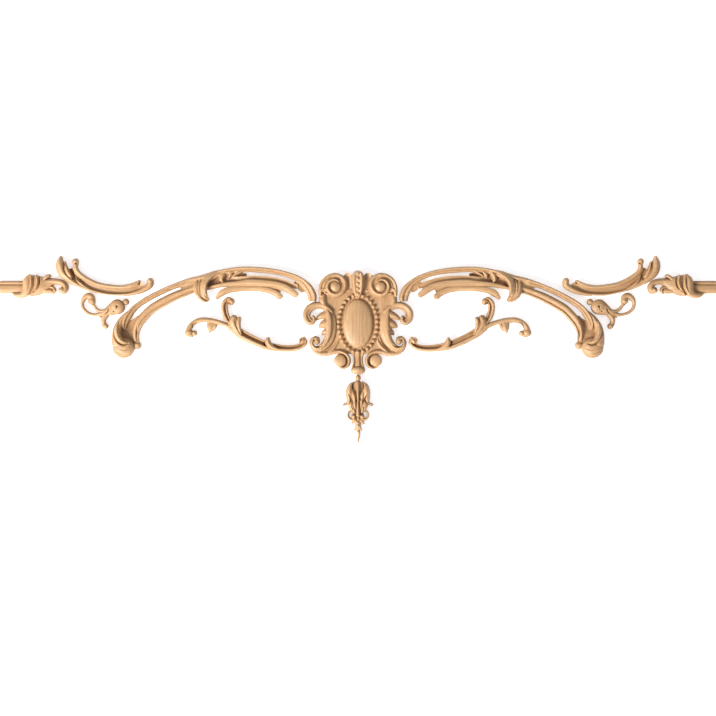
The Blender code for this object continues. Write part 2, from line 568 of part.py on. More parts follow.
def cartouche():
    """The shield: an oval boss in a ring of beads, volutes at its corners and leafy scrolls at its sides."""
    upper_volute = [
        Strand([(75, 57, 3.4, 19), (75.6, 68, 3.4, 19.5), (73.4, 80, 3.4, 20), (66.4, 90.4, 3.4, 20.5),
                (55, 97, 3.4, 21), (43, 98.2, 3.6, 21.5), (32, 94, 3.8, 22), (25.6, 85, 4, 22),
                (24.6, 74, 4, 22.5), (28, 64, 4.2, 23), (36, 57.4, 4.2, 23), (46.4, 56.8, 4, 23.5),
                (55.2, 61.4, 3.8, 24), (59.6, 70.4, 3.6, 24), (58, 80, 3.4, 24), (51.6, 87, 3.2, 24),
                (43, 88.6, 2.8, 24), (36, 84.4, 2.4, 23.5), (33.4, 77, 1.6, 22)], LEAF),
        Dome(44.8, 74.2, 10.2, 10.2, 25, edge=0.76),
        Strand([(61, 69, 1.8, 18), (68, 70, 3, 20), (73.4, 66, 3.2, 20), (74.8, 58, 3, 19)], LEAF),
        Strand([(70.4, 55, 6.4, 18), (71, 48, 7.2, 19), (68.4, 39, 7, 18), (63, 31, 6, 16)], LEAF),
    ]
    side_scroll = [
        Strand([(54, 24, 5, 18), (66, 33.4, 6, 18), (78, 37, 6, 18), (90, 35.6, 6.2, 18.5),
                (99, 29.4, 6.4, 19), (104.4, 19, 6.6, 20), (103, 8, 6.6, 21), (96, 2.6, 6, 22),
                (89.4, 7, 5.2, 22), (89.6, 13, 4.2, 22)], SCROLL),
        Strand([(63, 34, 2, 16), (57.6, 24, 7, 20), (54, 11, 10, 22), (53.4, -4, 11, 23),
                (55, -20, 10.6, 23), (60.4, -34, 9.4, 22), (68, -44, 8, 21), (78, -50, 6.6, 20),
                (87, -48.6, 5, 20), (92.6, -41.4, 4.2, 20), (92, -33, 4, 20), (86, -27.6, 3.8, 20),
                (79.6, -29, 3.2, 20)], SHELL),
        Dome(81.8, -34.6, 6, 7, 22),
    ]
    side_leaf = [
        Strand([(58, 24, 6, 18), (65, 18.6, 8, 19), (73, 15.4, 6.4, 18.5), (79.6, 12, 4, 16),
                (83, 8, 1.4, 12)],
               LEAF),
        Strand([(58, 2, 10, 19), (68, -0.6, 8.4, 18.5), (74, -3.4, 4.6, 15.5),
                (78, -6.4, 1.4, 12)], LEAF),
        Strand([(58, -13, 8, 18), (66.4, -16.4, 5.6, 16), (71.6, -21, 1.4, 12)], LEAF),
    ]
    lower_volute = [
        Strand([(94, -38, 2.6, 12), (90.4, -50, 3.6, 13), (79, -58, 4.6, 14.5), (62, -59.2, 5.2, 16),
                (48, -56, 5, 17), (36, -55.2, 4.2, 18), (24.6, -60, 3.6, 19), (17.6, -71, 3.4, 19),
                (20.4, -83, 3.2, 19), (30, -88, 3, 18), (38, -86, 2, 15)], LEAF),
        Dome(35.4, -73, 13, 12.6, 19, edge=0.72),
        Dome(32, -72.6, 15, 15, GROUND, edge=0.95, power=6, rings=()),
        Strand([(38, -26, 1.6, 12), (41, -37, 3, 14), (48, -47, 4.2, 15.5), (58, -56, 4, 16)], LEAF),
    ]
    half_ground = [
        (30, 97), (58, 93), (70, 84), (74, 66), (70, 46), (60, 26), (58, 0), (61, -30), (72, -46), (74, -55),
        (52, -58), (34, -60), (16, -60),
    ]
    ground = [(0, 97)] + half_ground + [(0, -66)] + [(-x, z) for x, z in reversed(half_ground)]
    tab = [(0, -56, 12, 14), (0, -66, 10.4, 14), (0, -76, 10, 15), (0, -84, 11.6, 16),
            (0, -92, 14.2, 18)]
    centre = [
        Plate(ground, GROUND),
        Strand(tab, TAB, (False, True)),
        Dome(0, -92.6, 14.6, 8.6, 21, edge=0.6),
        Strand([(0, 54, 2.4, 18), (0, 64, 7.4, 23), (0, 78, 9.6, 27), (0, 92, 10, 29),
                (0, 95, 10, 29)], STRAP),
        Dome(0, OVAL_MIDDLE, OVAL_X, OVAL_Z, 22, edge=0.6, power=2.2, sides=28, rings=(0.88, 0.55)),
    ]
    pearls = [Dome(0, 100.4 - 10.2 * i, 3.6, 4.2, 30.5 - 1.4 * i, edge=0.74, sides=6, rings=()) for i in range(5)]
    sides = both_sides(upper_volute + side_scroll + side_leaf + lower_volute)
    return sides + centre + pearls + beads()


def pendant():
    """The husk that hangs under the cartouche: a bead, folded leaves, curls and a twisted tail."""
    core = [
        (0, -158, 13, 14), (0, -172, 12.4, 15), (0, -184, 9, 16), (0, -196, 6.6, 17),
        (0, -206, 5.6, 16), (0.4, -212.6, 4, 14), (2.2, -219, 2.8, 11), (1.6, -226, 2.4, 9.5),
        (-0.2, -232, 2, 8.5), (1.2, -238, 1, 7),
    ]
    centre = [
        Dome(0, -107.6, 5.8, 6.2, 17, sides=8),
        Strand([(0, -112, 3.4, 12), (0, -120, 5, 13)], ROUND),
        Dome(0, -145, 20, 30, 18, edge=0.8, power=4),
        Strand(core, ROUND),
        Strand([(0, -118.6, 6.4, 20), (0, -123, 5.4, 21)], ROUND),
        Strand([(0, -122, 3.4, 24), (0, -136, 3.2, 27), (0, -152, 2, 26)], RIDGE),
        Strand([(0, -154, 2, 23), (0, -166, 2.8, 25), (0, -179, 3.2, 25)], RIDGE),
        Dome(0, -181.4, 4.6, 4, 25),
        Dome(0, -203, 3.6, 3.2, 20, sides=6, rings=()),
    ]
    half = [
        Strand([(8.6, -117, 2.4, 18), (14.4, -124, 6, 23), (16.6, -134, 7.8, 26), (17.4, -144, 7, 25.5),
                (18.6, -153, 4.6, 22), (22, -158.8, 3, 18), (28.4, -161.4, 2.8, 17)], HUSK),
        Strand([(12, -133, 3, 23), (9, -142, 4.6, 26), (6.8, -151, 3.6, 25), (6.8, -160, 3.2, 24.5),
                (5.4, -168, 2, 22)],
               RIDGE),
        Strand([(17, -149, 3, 19), (15, -158, 5.6, 23), (12, -167, 5.8, 24), (7.4, -176, 3, 21)], RIDGE),
        Strand([(7, -173, 3, 18), (13.4, -172.4, 2.6, 18), (19.4, -178, 2.6, 18),
                (19.6, -185.4, 2.8, 18), (14, -190.6, 2.8, 18), (8.6, -189.6, 3, 19)], ROUND),
        Dome(8.6, -184.8, 4.6, 4.6, 23),
        Strand([(3, -190, 4.4, 18), (8, -194.4, 3.4, 17), (12, -198.4, 1.8, 12)], LEAF),
        Strand([(2, -204, 4, 17), (5, -209, 2.6, 15), (7, -212, 1.4, 11)], LEAF),
    ]
    return centre + both_sides(half)


def rod_end():
    """The end of the moulded rod: the rod itself, a cuff of folded leaves and a curled stalk."""
    rod = [(ROD_END, ROD_Z, ROD_HALF, 13), (650, ROD_Z, ROD_HALF, 13)]
    return [
        Strand(rod, ROD, (True, True)),
        Strand([(662, 77, 17, 19), (650, 76.6, 21, 22), (636, 77.4, 18, 22), (624, 80, 13, 19),
                (612, 84, 8, 17)], ROUND, (True, False)),
        Strand([(659, 95.6, 3, 20), (663.4, 86, 6, 24), (662.4, 74, 7, 26), (663, 64, 7, 25),
                (671, 57.4, 5.6, 22), (681, 57, 4.6, 18), (689.4, 61.6, 2, 13)], LEAF),
        Strand([(650, 96.4, 2.4, 22), (648.4, 86, 3.6, 26), (649, 76, 3.8, 28), (653.6, 66, 3.8, 27),
                (661, 58, 3.8, 24), (672, 53.6, 2.4, 18)], LEAF),
        Strand([(641, 96, 2.4, 22), (638.8, 86, 3.4, 25), (639.8, 76, 3.6, 27), (644.6, 66, 3.6, 25),
                (652, 57.4, 3, 20)], LEAF),
        Strand([(628, 84.6, 6.4, 19), (614, 85, 6.4, 18), (601, 84.6, 6.2, 18), (590, 81.6, 6, 19),
                (584, 74, 6.4, 20), (586.6, 66, 6.4, 21), (592, 66, 5.6, 21)], LEAF),
        Dome(591, 67.4, 6.6, 6.6, 23),
        Strand([(630, 86, 3, 18), (622, 93, 4.2, 20), (616.4, 96.4, 3.2, 19)], LEAF),
        Strand([(634, 69, 6, 18), (622, 66, 6, 18), (613, 66, 5.4, 17)], LEAF),
        Strand([(616, 73.4, 2, 16), (609, 72.4, 2.8, 18), (605.4, 67, 3, 18),
                (608.8, 60.6, 2, 14)], LEAF),
    ]


def masked(stroke, points):
    """The points near a stroke, as a mask."""
    low, high = stroke.box(REACH)
    return ((points > low) & (points < high)).all(1)


def relief_top(strokes, points):
    """Height of the carved surface at each plan point."""
    top = np.full(len(points), THINNEST)
    for stroke in strokes:
        near = masked(stroke, points)
        if near.any():
            top[near] = np.maximum(top[near], stroke.top(stroke.measure(points[near])))
    return top


def outside_of(strokes, points):
    """Distance outside all the strokes, negative within them."""
    out = np.full(len(points), FAR)
    for stroke in strokes:
        near = masked(stroke, points)
        if near.any():
            out[near] = np.minimum(out[near], stroke.measure(points[near])[0])
    return out


def foot_line(strokes, line, others):
    """The foot of the step beside a band's edge, and which of its points are wanted."""
    edge = np.array([p for p, _, _ in line])
    away = np.array([a for _, a, _ in line])
    height = np.array([h for _, _, h in line])
    offset = np.full(len(line), 1.0)
    for _ in range(3):
        ground = relief_top(others, edge + away * offset[:, None])
        offset = np.clip((height - ground) / DRAFT, 0.0, WIDEST_STEP)
    foot = edge + away * offset[:, None]
    shown = relief_top(strokes, edge) < height + SHOWN
    wanted = shown & (offset > LOWEST_STEP / DRAFT) & (outside_of(others, foot) < -OVERLAP)
    return foot, wanted


def plan_lines(strokes):
    """The plan points and edges that the facets follow: what shows of edges, creases and feet."""
    lines = []
    for stroke in strokes:
        others = [s for s in strokes if s is not stroke]
        ring = stroke.outline()
        ring = np.vstack([ring, ring[:1]])
        measured = stroke.measure(ring)
        shown = stroke.top(measured) > relief_top(strokes, ring) - SHOWN
        clear = outside_of(others, ring) > -TOUCHING
        lines.append((ring, (shown | clear) & (measured[0] > -OVERLAP), True))
        for line, clear in stroke.creases():
            shown = stroke.top(stroke.measure(line)) > relief_top(strokes, line) - SHOWN
            lines.append((line, shown & clear, False))
        for line in stroke.feet():
            foot, wanted = foot_line(strokes, line, others)
            lines.append((foot, wanted, False))
    points, edges = [], []
    for line, wanted, loose in lines:
        used = wanted.copy()
        if loose:
            used[1:] |= wanted[:-1]
            used[:-1] |= wanted[1:]
        number = np.cumsum(used) - 1 + len(points)
        points.extend(line[used])
        for i in range(len(line) - 1):
            joined = wanted[i] or wanted[i + 1] if loose else wanted[i] and wanted[i + 1]
            if joined:
                edges.append((int(number[i]), int(number[i + 1])))
    return points, edges


def triangulate(points, edges, merge):
    """Constrained Delaunay triangles over plan points."""
    found = delaunay_2d_cdt([Vector(p) for p in points], edges, [], 0, merge)
    return np.array([tuple(v) for v in found[0]]), [tuple(face) for face in found[2]], found[3]


def rim_edges(faces):
    """Directed edges that only one of the triangles has, in its own winding."""
    directed = {(a, b) for face in faces for a, b in zip(face, face[1:] + face[:1])}
    return [(a, b) for a, b in directed if (b, a) not in directed]


def crossings(points, start, end):
    """Whether each point is inside closed loops given by their edges."""
    x, z = points[:, :1], points[:, 1:]
    spans = (start[:, 1] > z) != (end[:, 1] > z)
    rise = np.where(end[:, 1] == start[:, 1], 1e-12, end[:, 1] - start[:, 1])
    return (spans & (x < start[:, 0] + (z - start[:, 1]) / rise * (end[:, 0] - start[:, 0]))).sum(1) % 2 == 1


def filled(strokes, plan, faces):
    """The triangles that lie within the piece, with none that meet at a single corner only."""
    middles = np.array([plan[list(face)].mean(0) for face in faces])
    inside = outside_of(strokes, middles) < -WELL_INSIDE
    for stroke in strokes:
        inside |= within(middles, stroke.outline())
    kept = {i for i in range(len(faces)) if inside[i]}
    around = {}
    for i, face in enumerate(faces):
        for corner in face:
            around.setdefault(corner, []).append(i)
    while True:
        count = {}
        for a, b in rim_edges([faces[i] for i in kept]):
            count[a] = count.get(a, 0) + 1
        pinched = [corner for corner, n in count.items() if n > 1]
        if not pinched:
            return [faces[i] for i in sorted(kept)]
        for corner in pinched:
            spare = [i for i in around[corner] if i not in kept]
            if spare:
                kept.add(min(spare, key=lambda i: flat_area(plan, faces[i])))
            else:
                kept -= set(around[corner])


def flat_area(plan, face):
    a, b, c = (plan[i] for i in face)
    return abs((b[0] - a[0]) * (c[1] - a[1]) - (b[1] - a[1]) * (c[0] - a[0])) / 2


def carve(name, strokes):
    """A closed solid: the carved front, a flat back on the wall plane and upright sides."""
    plan, faces, _ = triangulate(*plan_lines(strokes), MERGE)
    faces = filled(strokes, plan, faces)
    used = sorted({i for face in faces for i in face})
    number = {old: new for new, old in enumerate(used)}
    plan = plan[used]
    faces = [tuple(number[i] for i in face) for face in faces]
    top = relief_top(strokes, plan)
    rim = rim_edges(faces)
    rim_points = sorted({i for edge in rim for i in edge})
    back = {i: len(plan) + k for k, i in enumerate(rim_points)}
    spot = {i: k for k, i in enumerate(rim_points)}
    flat, flat_faces, origin = triangulate(plan[rim_points], [(spot[a], spot[b]) for a, b in rim], EXACT)
    start, end = (plan[[edge[k] for edge in rim]] for k in (0, 1))
    middles = np.array([flat[list(face)].mean(0) for face in flat_faces])
    solid = crossings(middles, start, end)
    verts = [(x * MM, -h * MM, z * MM) for (x, z), h in zip(plan, top)]
    verts += [(plan[i][0] * MM, 0.0, plan[i][1] * MM) for i in rim_points]
    quads = [(b, a, back[a], back[b]) for a, b in rim]
    floor = [tuple(len(plan) + origin[i][0] for i in reversed(face)) for face, s in zip(flat_faces, solid) if s]
    mesh = bpy.data.meshes.new(name)
    mesh.from_pydata(verts, [], faces + quads + floor)
    mesh.validate()
    mesh.shade_smooth()
    mesh.set_sharp_from_angle(angle=math.radians(SHARP_ANGLE))
    mesh.materials.append(wood(name))
    piece = bpy.data.objects.new(name, mesh)
    bpy.context.scene.collection.objects.link(piece)
    return piece


def wood(name):
    material = bpy.data.materials.new(name + "_wood")
    material.use_nodes = True
    shader = material.node_tree.nodes["Principled BSDF"]
    shader.inputs["Base Color"].default_value = WOOD
    shader.inputs["Roughness"].default_value = ROUGHNESS
    shader.inputs["Metallic"].default_value = 0.0
    return material


def clear_scene():
    for old in list(bpy.data.objects):
        bpy.data.objects.remove(old, do_unlink=True)


clear_scene()
carve("cartouche", cartouche())
carve("pendant", pendant())
for piece_name, design in (("arm", arm), ("vine", vine), ("trough", trough), ("comma", comma),
        ("rod_end", rod_end)):
    strokes = design()
    carve(piece_name + "_left", [stroke.mirrored() for stroke in strokes])
    carve(piece_name + "_right", strokes)
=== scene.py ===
"""The carved applique in its wood, on a fine grid: strokes close to those of the solids, with finer cuts.

The design is in millimetres: x along the wall, z up, heights off the wall towards -Y. The highest stroke
shows, and grooves and bowls are then cut into it.
"""

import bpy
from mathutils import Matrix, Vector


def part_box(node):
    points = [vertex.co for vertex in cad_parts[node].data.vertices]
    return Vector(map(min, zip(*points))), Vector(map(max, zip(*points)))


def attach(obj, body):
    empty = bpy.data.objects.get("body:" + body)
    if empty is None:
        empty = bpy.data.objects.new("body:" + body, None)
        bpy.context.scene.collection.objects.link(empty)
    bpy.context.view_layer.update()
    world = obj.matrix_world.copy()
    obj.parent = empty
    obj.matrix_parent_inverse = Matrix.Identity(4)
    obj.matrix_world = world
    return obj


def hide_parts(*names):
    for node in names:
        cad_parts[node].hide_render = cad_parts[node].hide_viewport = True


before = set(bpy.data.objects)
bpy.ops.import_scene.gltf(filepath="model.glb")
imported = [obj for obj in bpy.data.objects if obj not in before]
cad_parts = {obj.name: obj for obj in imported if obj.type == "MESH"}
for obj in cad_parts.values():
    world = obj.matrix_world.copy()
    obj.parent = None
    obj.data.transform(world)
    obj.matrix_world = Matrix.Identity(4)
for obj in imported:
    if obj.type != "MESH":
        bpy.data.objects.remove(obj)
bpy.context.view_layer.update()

import copy
import math

import bpy
import numpy as np
from mathutils import Vector
from mathutils.geometry import delaunay_2d_cdt

# The relief's making, in millimetres
DRAFT = 8.0  # how steeply a flank falls outside a stroke's edge
PATH_STEP = 1.5
NARROWEST = 0.3
REACH = 8.0  # how far outside its edge a stroke is measured
CUT_REACH = 1.0
MARGIN = 2.0
FAR = 50.0  # the distance given where no stroke is near
THINNEST = 2.0
GROOVE_POWER = 1.4
TOOL_WAVES = ((9.0, 0.10), (3.5, 0.05))  # pitch and height
HOLLOW_REACHES = (3.5, 13.0)
WIDE_SHARE = 0.5
SOFTEN = 1  # passes of blur
SHARP_ANGLE = 50  # degrees
RUN = 12  # pieces of a path that are searched together
SLIVER = 0.08  # the least share of a cell's side that a cut leaves
TABLE_SIZE = 129
CHUNK = 20000
LOOP_CHUNK = 2000
EXACT = 1e-5
TINY = 1e-9

# The design's driving sizes, in millimetres
ARM_RIM = 19.0
REED_TOP = 18.0
LEDGE = 13.5
VINE_TOP = 15.0
TROUGH_RIM = 15.0
GROUND = 11.0
OVAL_MIDDLE = 0.6
OVAL_X, OVAL_Z = 30.0, 48.6
BEAD_RING_X, BEAD_RING_Z = 38.4, 57.0
BEAD = 4.2
BEAD_TOP = 18.4
BEADS = 30
PEARLS = 5
PEARL_X, PEARL_Z = 3.6, 4.2
FIRST_PEARL, PEARL_PITCH = 100.4, 10.2
PEARL_TOP, PEARL_DROP = 30.5, 1.4
ROD_Z = 73.3
ROD_HALF = 12.7
ROD_TOP = 13.0
ROD_END = 716.0
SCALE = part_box("rod_end_right")[1].x / ROD_END
CAMERA_Z = -68.0

# The camera, lamps and stage, in metres and watts
CAMERA_AWAY = 5.0
KEY_PLACE = (-2.85, -3.05, -1.93)
KEY_SIZE = 1.6
KEY_POWER = 408.0
KEY_COLOUR = (1.0, 0.97, 0.93)
FILL_PLACE = (2.2, -3.2, 1.4)
FILL_SIZE = 2.4
FILL_POWER = 16.0
FILL_COLOUR = (0.93, 0.96, 1.0)
SURROUND = (0.93, 0.96, 1.0, 1.0)
SURROUND_POWER = 0.38
WALL_Y = 0.0015
WALL_TOP = 3.0
WALL_COLOUR = (0.86, 0.86, 0.87, 1.0)
WALL_GLOW = 0.7
FLOOR_COLOUR = (0.8, 0.79, 0.78, 1.0)
FLOOR_Z = -2.8
FLOOR_NEAR, FLOOR_FAR = -6.0, 4.0
STAGE_HALF = 5.0
STAGE_ROUGHNESS = 0.9
STAGE_SHINE = 0.1

# The growth rings and their place in each piece, in metres
RING_PITCH = 0.0042
RING_BEND = 0.03
RING_CENTRE_Y = 0.06
RING_CENTRE_Z = -0.02
RING_STEP = 0.013  # from one design to the next
BOARD_STEP = 0.37
SIDE_STEP = 0.11
LATE_POWER = 2.6

# The grain's patterns, as repeats in a metre across the grain and along it
BEND_GRAIN = (14, 2.5)
STREAK_GRAIN = (210, 6)
FINE_GRAIN = (1500, 45)
CLOUD_GRAIN = (11, 4)
PORE_GRAIN = (1900, 150)

# The wood's colours, the painted shade of its hollows, and how strongly each shows
DARK_STREAK = (0.29, 0.165, 0.074, 1.0)
LIGHT_STREAK = (0.51, 0.325, 0.172, 1.0)
STREAK_SHARE = 0.7
FINE_SHARE = 0.3
LATE_WOOD = (0.31, 0.165, 0.07, 1.0)
LATE_SHARE = 0.55
CLOUD = (0.43, 0.25, 0.12, 1.0)
CLOUD_SHARE = 0.62
PORE = (0.2, 0.1, 0.04, 1.0)
PORE_SHARE = 0.3
# Painted shade: a dark warm brown laid over the recesses in place of the shade that falls in them
PAINTED_SHADE_COLOUR = (0.23, 0.1, 0.04, 1.0)
PAINTED_SHADE_SHARE = 0.85
WORN = (0.6, 0.415, 0.255, 1.0)
WORN_SHARE = 0.3
ROUGH_DARK, ROUGH_LIGHT = 0.54, 0.4
WOOD_SHINE = 0.5
BUMP_STRENGTH = 0.5
BUMP_DEPTH = 0.00018


def curve_table(points):
    """A smooth curve through (q, height share) points, as a table over q = -1..1."""
    q, f = (np.array(column, float) for column in zip(*points))
    step = np.diff(q)
    slope = np.diff(f) / step
    grad = np.concatenate([[slope[0]], np.zeros(len(q) - 2), [slope[-1]]])
    for i in range(1, len(q) - 1):
        if slope[i - 1] * slope[i] > 0:
            grad[i] = 2 * slope[i - 1] * slope[i] / (slope[i - 1] + slope[i])
    at = np.linspace(-1, 1, TABLE_SIZE)
    k = np.clip(np.searchsorted(q, at) - 1, 0, len(step) - 1)
    t = (at - q[k]) / step[k]
    rise = f[k] * (2 * t**3 - 3 * t**2 + 1) + f[k + 1] * (3 * t**2 - 2 * t**3)
    return rise + step[k] * (grad[k] * (t**3 - 2 * t**2 + t) + grad[k + 1] * (t**3 - t**2))


class Profile:
    """The section across a band: q = -1 is its left edge and q = 1 its right one."""

    def __init__(self, points):
        self.table = curve_table(points)

    def at(self, q):
        return np.interp(q, np.linspace(-1, 1, TABLE_SIZE), self.table)

    def flipped(self):
        other = copy.copy(self)
        other.table = self.table[::-1]
        return other


def even(*points):
    """A section alike on both sides, from its points between the middle and the right edge."""
    return Profile([(-q, share) for q, share in reversed(points) if q] + list(points))


ROUND = even((0, 1), (0.4, 0.96), (0.8, 0.8), (1, 0.5))
LEAF = even((0, 1), (0.55, 0.9), (1, 0.66))
RIDGE = even((0, 1), (0.55, 0.93), (1, 0.8))
FLOOR = even((0, 0.8), (1, 0.95))
STRAP = even((0, 0.88), (0.42, 0.92), (0.62, 0.98), (0.85, 0.86), (1, 0.66))
TAB = even((0.22, 1), (0.4, 0.8), (0.58, 0.72), (0.82, 0.95), (1, 0.7))
REED = Profile([(-1, 0.55), (-0.82, 0.76), (-0.7, 0.74), (-0.45, 0.9), (0, 1), (0.5, 0.99), (0.88, 0.96),
                (1, 0.88)])
RIM = Profile([(-1, 0.5), (-0.6, 0.72), (-0.35, 0.74), (-0.1, 0.68), (0.15, 0.85), (0.45, 1), (0.75, 0.92),
               (1, 0.62)])
BAND = Profile([(-1, 0.55), (-0.8, 0.85), (-0.62, 0.88), (-0.42, 0.72), (-0.1, 0.93), (0.35, 1),
                (0.75, 0.9), (1, 0.62)])
SCROLL = Profile([(-1, 0.62), (-0.6, 0.97), (-0.2, 1), (0.2, 0.92), (0.5, 0.82), (0.75, 0.86), (0.9, 0.8),
                  (1, 0.62)])
SHELL = Profile([(-1, 0.7), (-0.55, 0.98), (-0.1, 1), (0.3, 0.76), (0.55, 0.7), (0.8, 0.66), (1, 0.5)])
COVE = Profile([(-1, 0.62), (-0.88, 0.92), (-0.78, 1), (-0.7, 0.92), (-0.6, 0.58), (-0.3, 0.5),
                (0.05, 0.53), (0.24, 0.64), (0.38, 0.92), (0.6, 1), (0.86, 0.9), (1, 0.62)])
LIP = Profile([(-1, 0.74), (-0.6, 0.85), (0, 0.93), (0.6, 1), (0.86, 0.97), (1, 0.82)])
HUSK = Profile([(-1, 0.6), (-0.5, 0.86), (-0.1, 1), (0.3, 0.97), (0.7, 0.88), (1, 0.76)])
STEM = Profile([(-1, 0.6), (-0.7, 0.94), (-0.3, 1), (-0.12, 0.88), (0.04, 0.42), (0.4, 0.4), (0.66, 0.72),
                (0.86, 0.84), (1, 0.6)])
BRANCH = Profile([(-1, 0.55), (-0.78, 0.82), (-0.5, 0.86), (-0.28, 0.58), (0, 0.82), (0.35, 1),
                  (0.7, 0.94), (1, 0.6)])
ROD = Profile([(-1, 0.55), (-0.8, 0.84), (-0.35, 1), (0.1, 0.94), (0.36, 0.78), (0.44, 0.6), (0.52, 0.78),
               (0.78, 0.8), (0.84, 0.6), (1, 0.55)])


def smooth_path(knots):
    """A centripetal Catmull-Rom curve through (x, z, half width, height) knots."""
    p = np.array(knots, float)
    if len(p) == 2:
        t = np.linspace(0, 1, max(2, int(np.linalg.norm(p[1, :2] - p[0, :2]) / PATH_STEP)) + 1)[:, None]
        return p[0] * (1 - t) + p[1] * t
    p = np.vstack([2 * p[0] - p[1], p, 2 * p[-1] - p[-2]])
    gap = np.maximum(np.linalg.norm(np.diff(p[:, :2], axis=0), axis=1) ** 0.5, TINY)
    out = []
    for i in range(1, len(p) - 2):
        steps = max(2, int(np.ceil(gap[i] ** 2 / PATH_STEP)))
        t1 = gap[i - 1]
        t2 = t1 + gap[i]
        t3 = t2 + gap[i + 1]
        t = np.linspace(t1, t2, steps, endpoint=False)[:, None]
        a1 = (t1 - t) / t1 * p[i - 1] + t / t1 * p[i]
        a2 = (t2 - t) / (t2 - t1) * p[i] + (t - t1) / (t2 - t1) * p[i + 1]
        a3 = (t3 - t) / (t3 - t2) * p[i + 1] + (t - t2) / (t3 - t2) * p[i + 2]
        b1 = (t2 - t) / t2 * a1 + t / t2 * a2
        b2 = (t3 - t) / (t3 - t1) * a2 + (t - t1) / (t3 - t1) * a3
        out.append((t2 - t) / (t2 - t1) * b1 + (t - t1) / (t2 - t1) * b2)
    out = np.vstack(out + [p[-2][None]])
    out[:, 2] = np.maximum(out[:, 2], NARROWEST)
    return out


class Strand:
    """A band along a curve through knots of (x, z, half width, crest height)."""

    cuts = False

    def __init__(self, knots, profile=None, flat=(False, False)):
        self.path = smooth_path(knots)
        self.profile = profile
        self.flat = flat

    def mirrored(self):
        other = copy.copy(self)
        other.path = self.path * [-1, 1, 1, 1]
        other.profile = self.profile and self.profile.flipped()
        return other

    def box(self, margin):
        return run_box(self.path, margin)

    def measure(self, points):
        """Distance outside the band, place across it and crest height, for each point."""
        out = np.zeros((3, len(points)))
        out[0] = FAR
        for lo in range(0, len(self.path) - 1, RUN):
            run = self.path[lo : lo + RUN + 1]
            near = np.flatnonzero(in_box(points, run_box(run, REACH)))
            found = nearest(points[near], run)
            closer = found[0] < out[0, near]
            out[:, near[closer]] = found[:, closer]
        for squared, tip, before in zip(self.flat, self.path[[0, -1]], self.path[[1, -2]]):
            if squared:
                square_end(points, out, tip, (tip - before)[:2])
        return out

    def top(self, measured):
        distance, q, crest = measured
        return self.profile.at(np.clip(q, -1, 1)) * crest - DRAFT * np.maximum(distance, 0)


def run_box(run, margin):
    """The box round a stretch of band, as its low and high corners."""
    low = (run[:, :2] - run[:, 2:3]).min(0) - margin
    high = (run[:, :2] + run[:, 2:3]).max(0) + margin
    return low, high


def in_box(points, box):
    low, high = box
    return ((points > low) & (points < high)).all(1)


def project(points, start, along):
    """Each point's offset from each straight piece, its place along the piece and its distance."""
    dx = points[:, :1] - start[:, 0]
    dz = points[:, 1:] - start[:, 1]
    length2 = np.maximum((along[:, :2] ** 2).sum(1), TINY)
    t = np.clip((dx * along[:, 0] + dz * along[:, 1]) / length2, 0, 1)
    return dx, dz, t, np.hypot(dx - t * along[:, 0], dz - t * along[:, 1])


def nearest(points, run):
    """Distance outside a short stretch of band, place across it and crest height, for each point."""
    a = run[:-1]
    along = run[1:] - a
    dx, dz, t, apart = project(points, a, along)
    outside = apart - a[:, 2] - t * along[:, 2]
    row = np.arange(len(points))
    best = outside.argmin(1)
    s = t[row, best]
    side = np.sign(dx[row, best] * along[best, 1] - dz[row, best] * along[best, 0])
    q = side * apart[row, best] / (a[best, 2] + s * along[best, 2])
    return np.array([outside[row, best], q, a[best, 3] + s * along[best, 3]])


def square_end(points, out, tip, ahead):
    """Cuts a band off square at its tip, in place."""
    unit = ahead / np.linalg.norm(ahead)
    offset = points - tip[:2]
    past = offset @ unit
    across = offset @ [unit[1], -unit[0]]
    beyond = (past > -EXACT) & (np.hypot(past, across) < tip[2] + REACH)
    out[0, beyond] = np.maximum(past, np.abs(across) - tip[2])[beyond]
    out[1, beyond] = across[beyond] / tip[2]
    out[2, beyond] = tip[3]


class Groove(Strand):
    """A channel along knots of (x, z, half width, depth)."""

    cuts = True

    def depth(self, measured):
        distance, q, deep = measured
        return np.where(distance < 0, deep * (1 - np.minimum(np.abs(q), 1) ** GROOVE_POWER), 0.0)


class Dome:
    """An oval boss with its own edge height, as a share of its crest."""

    cuts = False

    def __init__(self, x, z, rx, rz, crest, edge=0.5, power=2.0):
        self.x, self.z, self.rx, self.rz, self.crest = x, z, rx, rz, crest
        self.edge, self.power = edge, power

    def mirrored(self):
        other = copy.copy(self)
        other.x = -self.x
        return other

    def box(self, margin):
        reach = np.array([self.rx + margin, self.rz + margin])
        centre = np.array([self.x, self.z])
        return centre - reach, centre + reach

    def measure(self, points):
        u, v = points[:, 0] - self.x, points[:, 1] - self.z
        r = np.maximum(np.hypot(u / self.rx, v / self.rz), TINY)
        slope = np.hypot(u / self.rx**2, v / self.rz**2) / r
        outer = (r - 1) / np.maximum(slope, TINY)
        distance = np.where(r < 1, (r - 1) * min(self.rx, self.rz), outer)
        return np.array([distance, r, np.full_like(r, self.crest)])

    def top(self, measured):
        distance, r, crest = measured
        bulge = (1 - np.clip(r, 0, 1) ** self.power) ** (1 / self.power)
        return crest * (self.edge + (1 - self.edge) * bulge) - DRAFT * np.maximum(distance, 0)


class Bowl(Dome):
    """An oval hollow, as deep as its crest says."""

    cuts = True

    def depth(self, measured):
        _, r, deep = measured
        return np.where(r < 1, deep * (1 - r**2), 0.0)


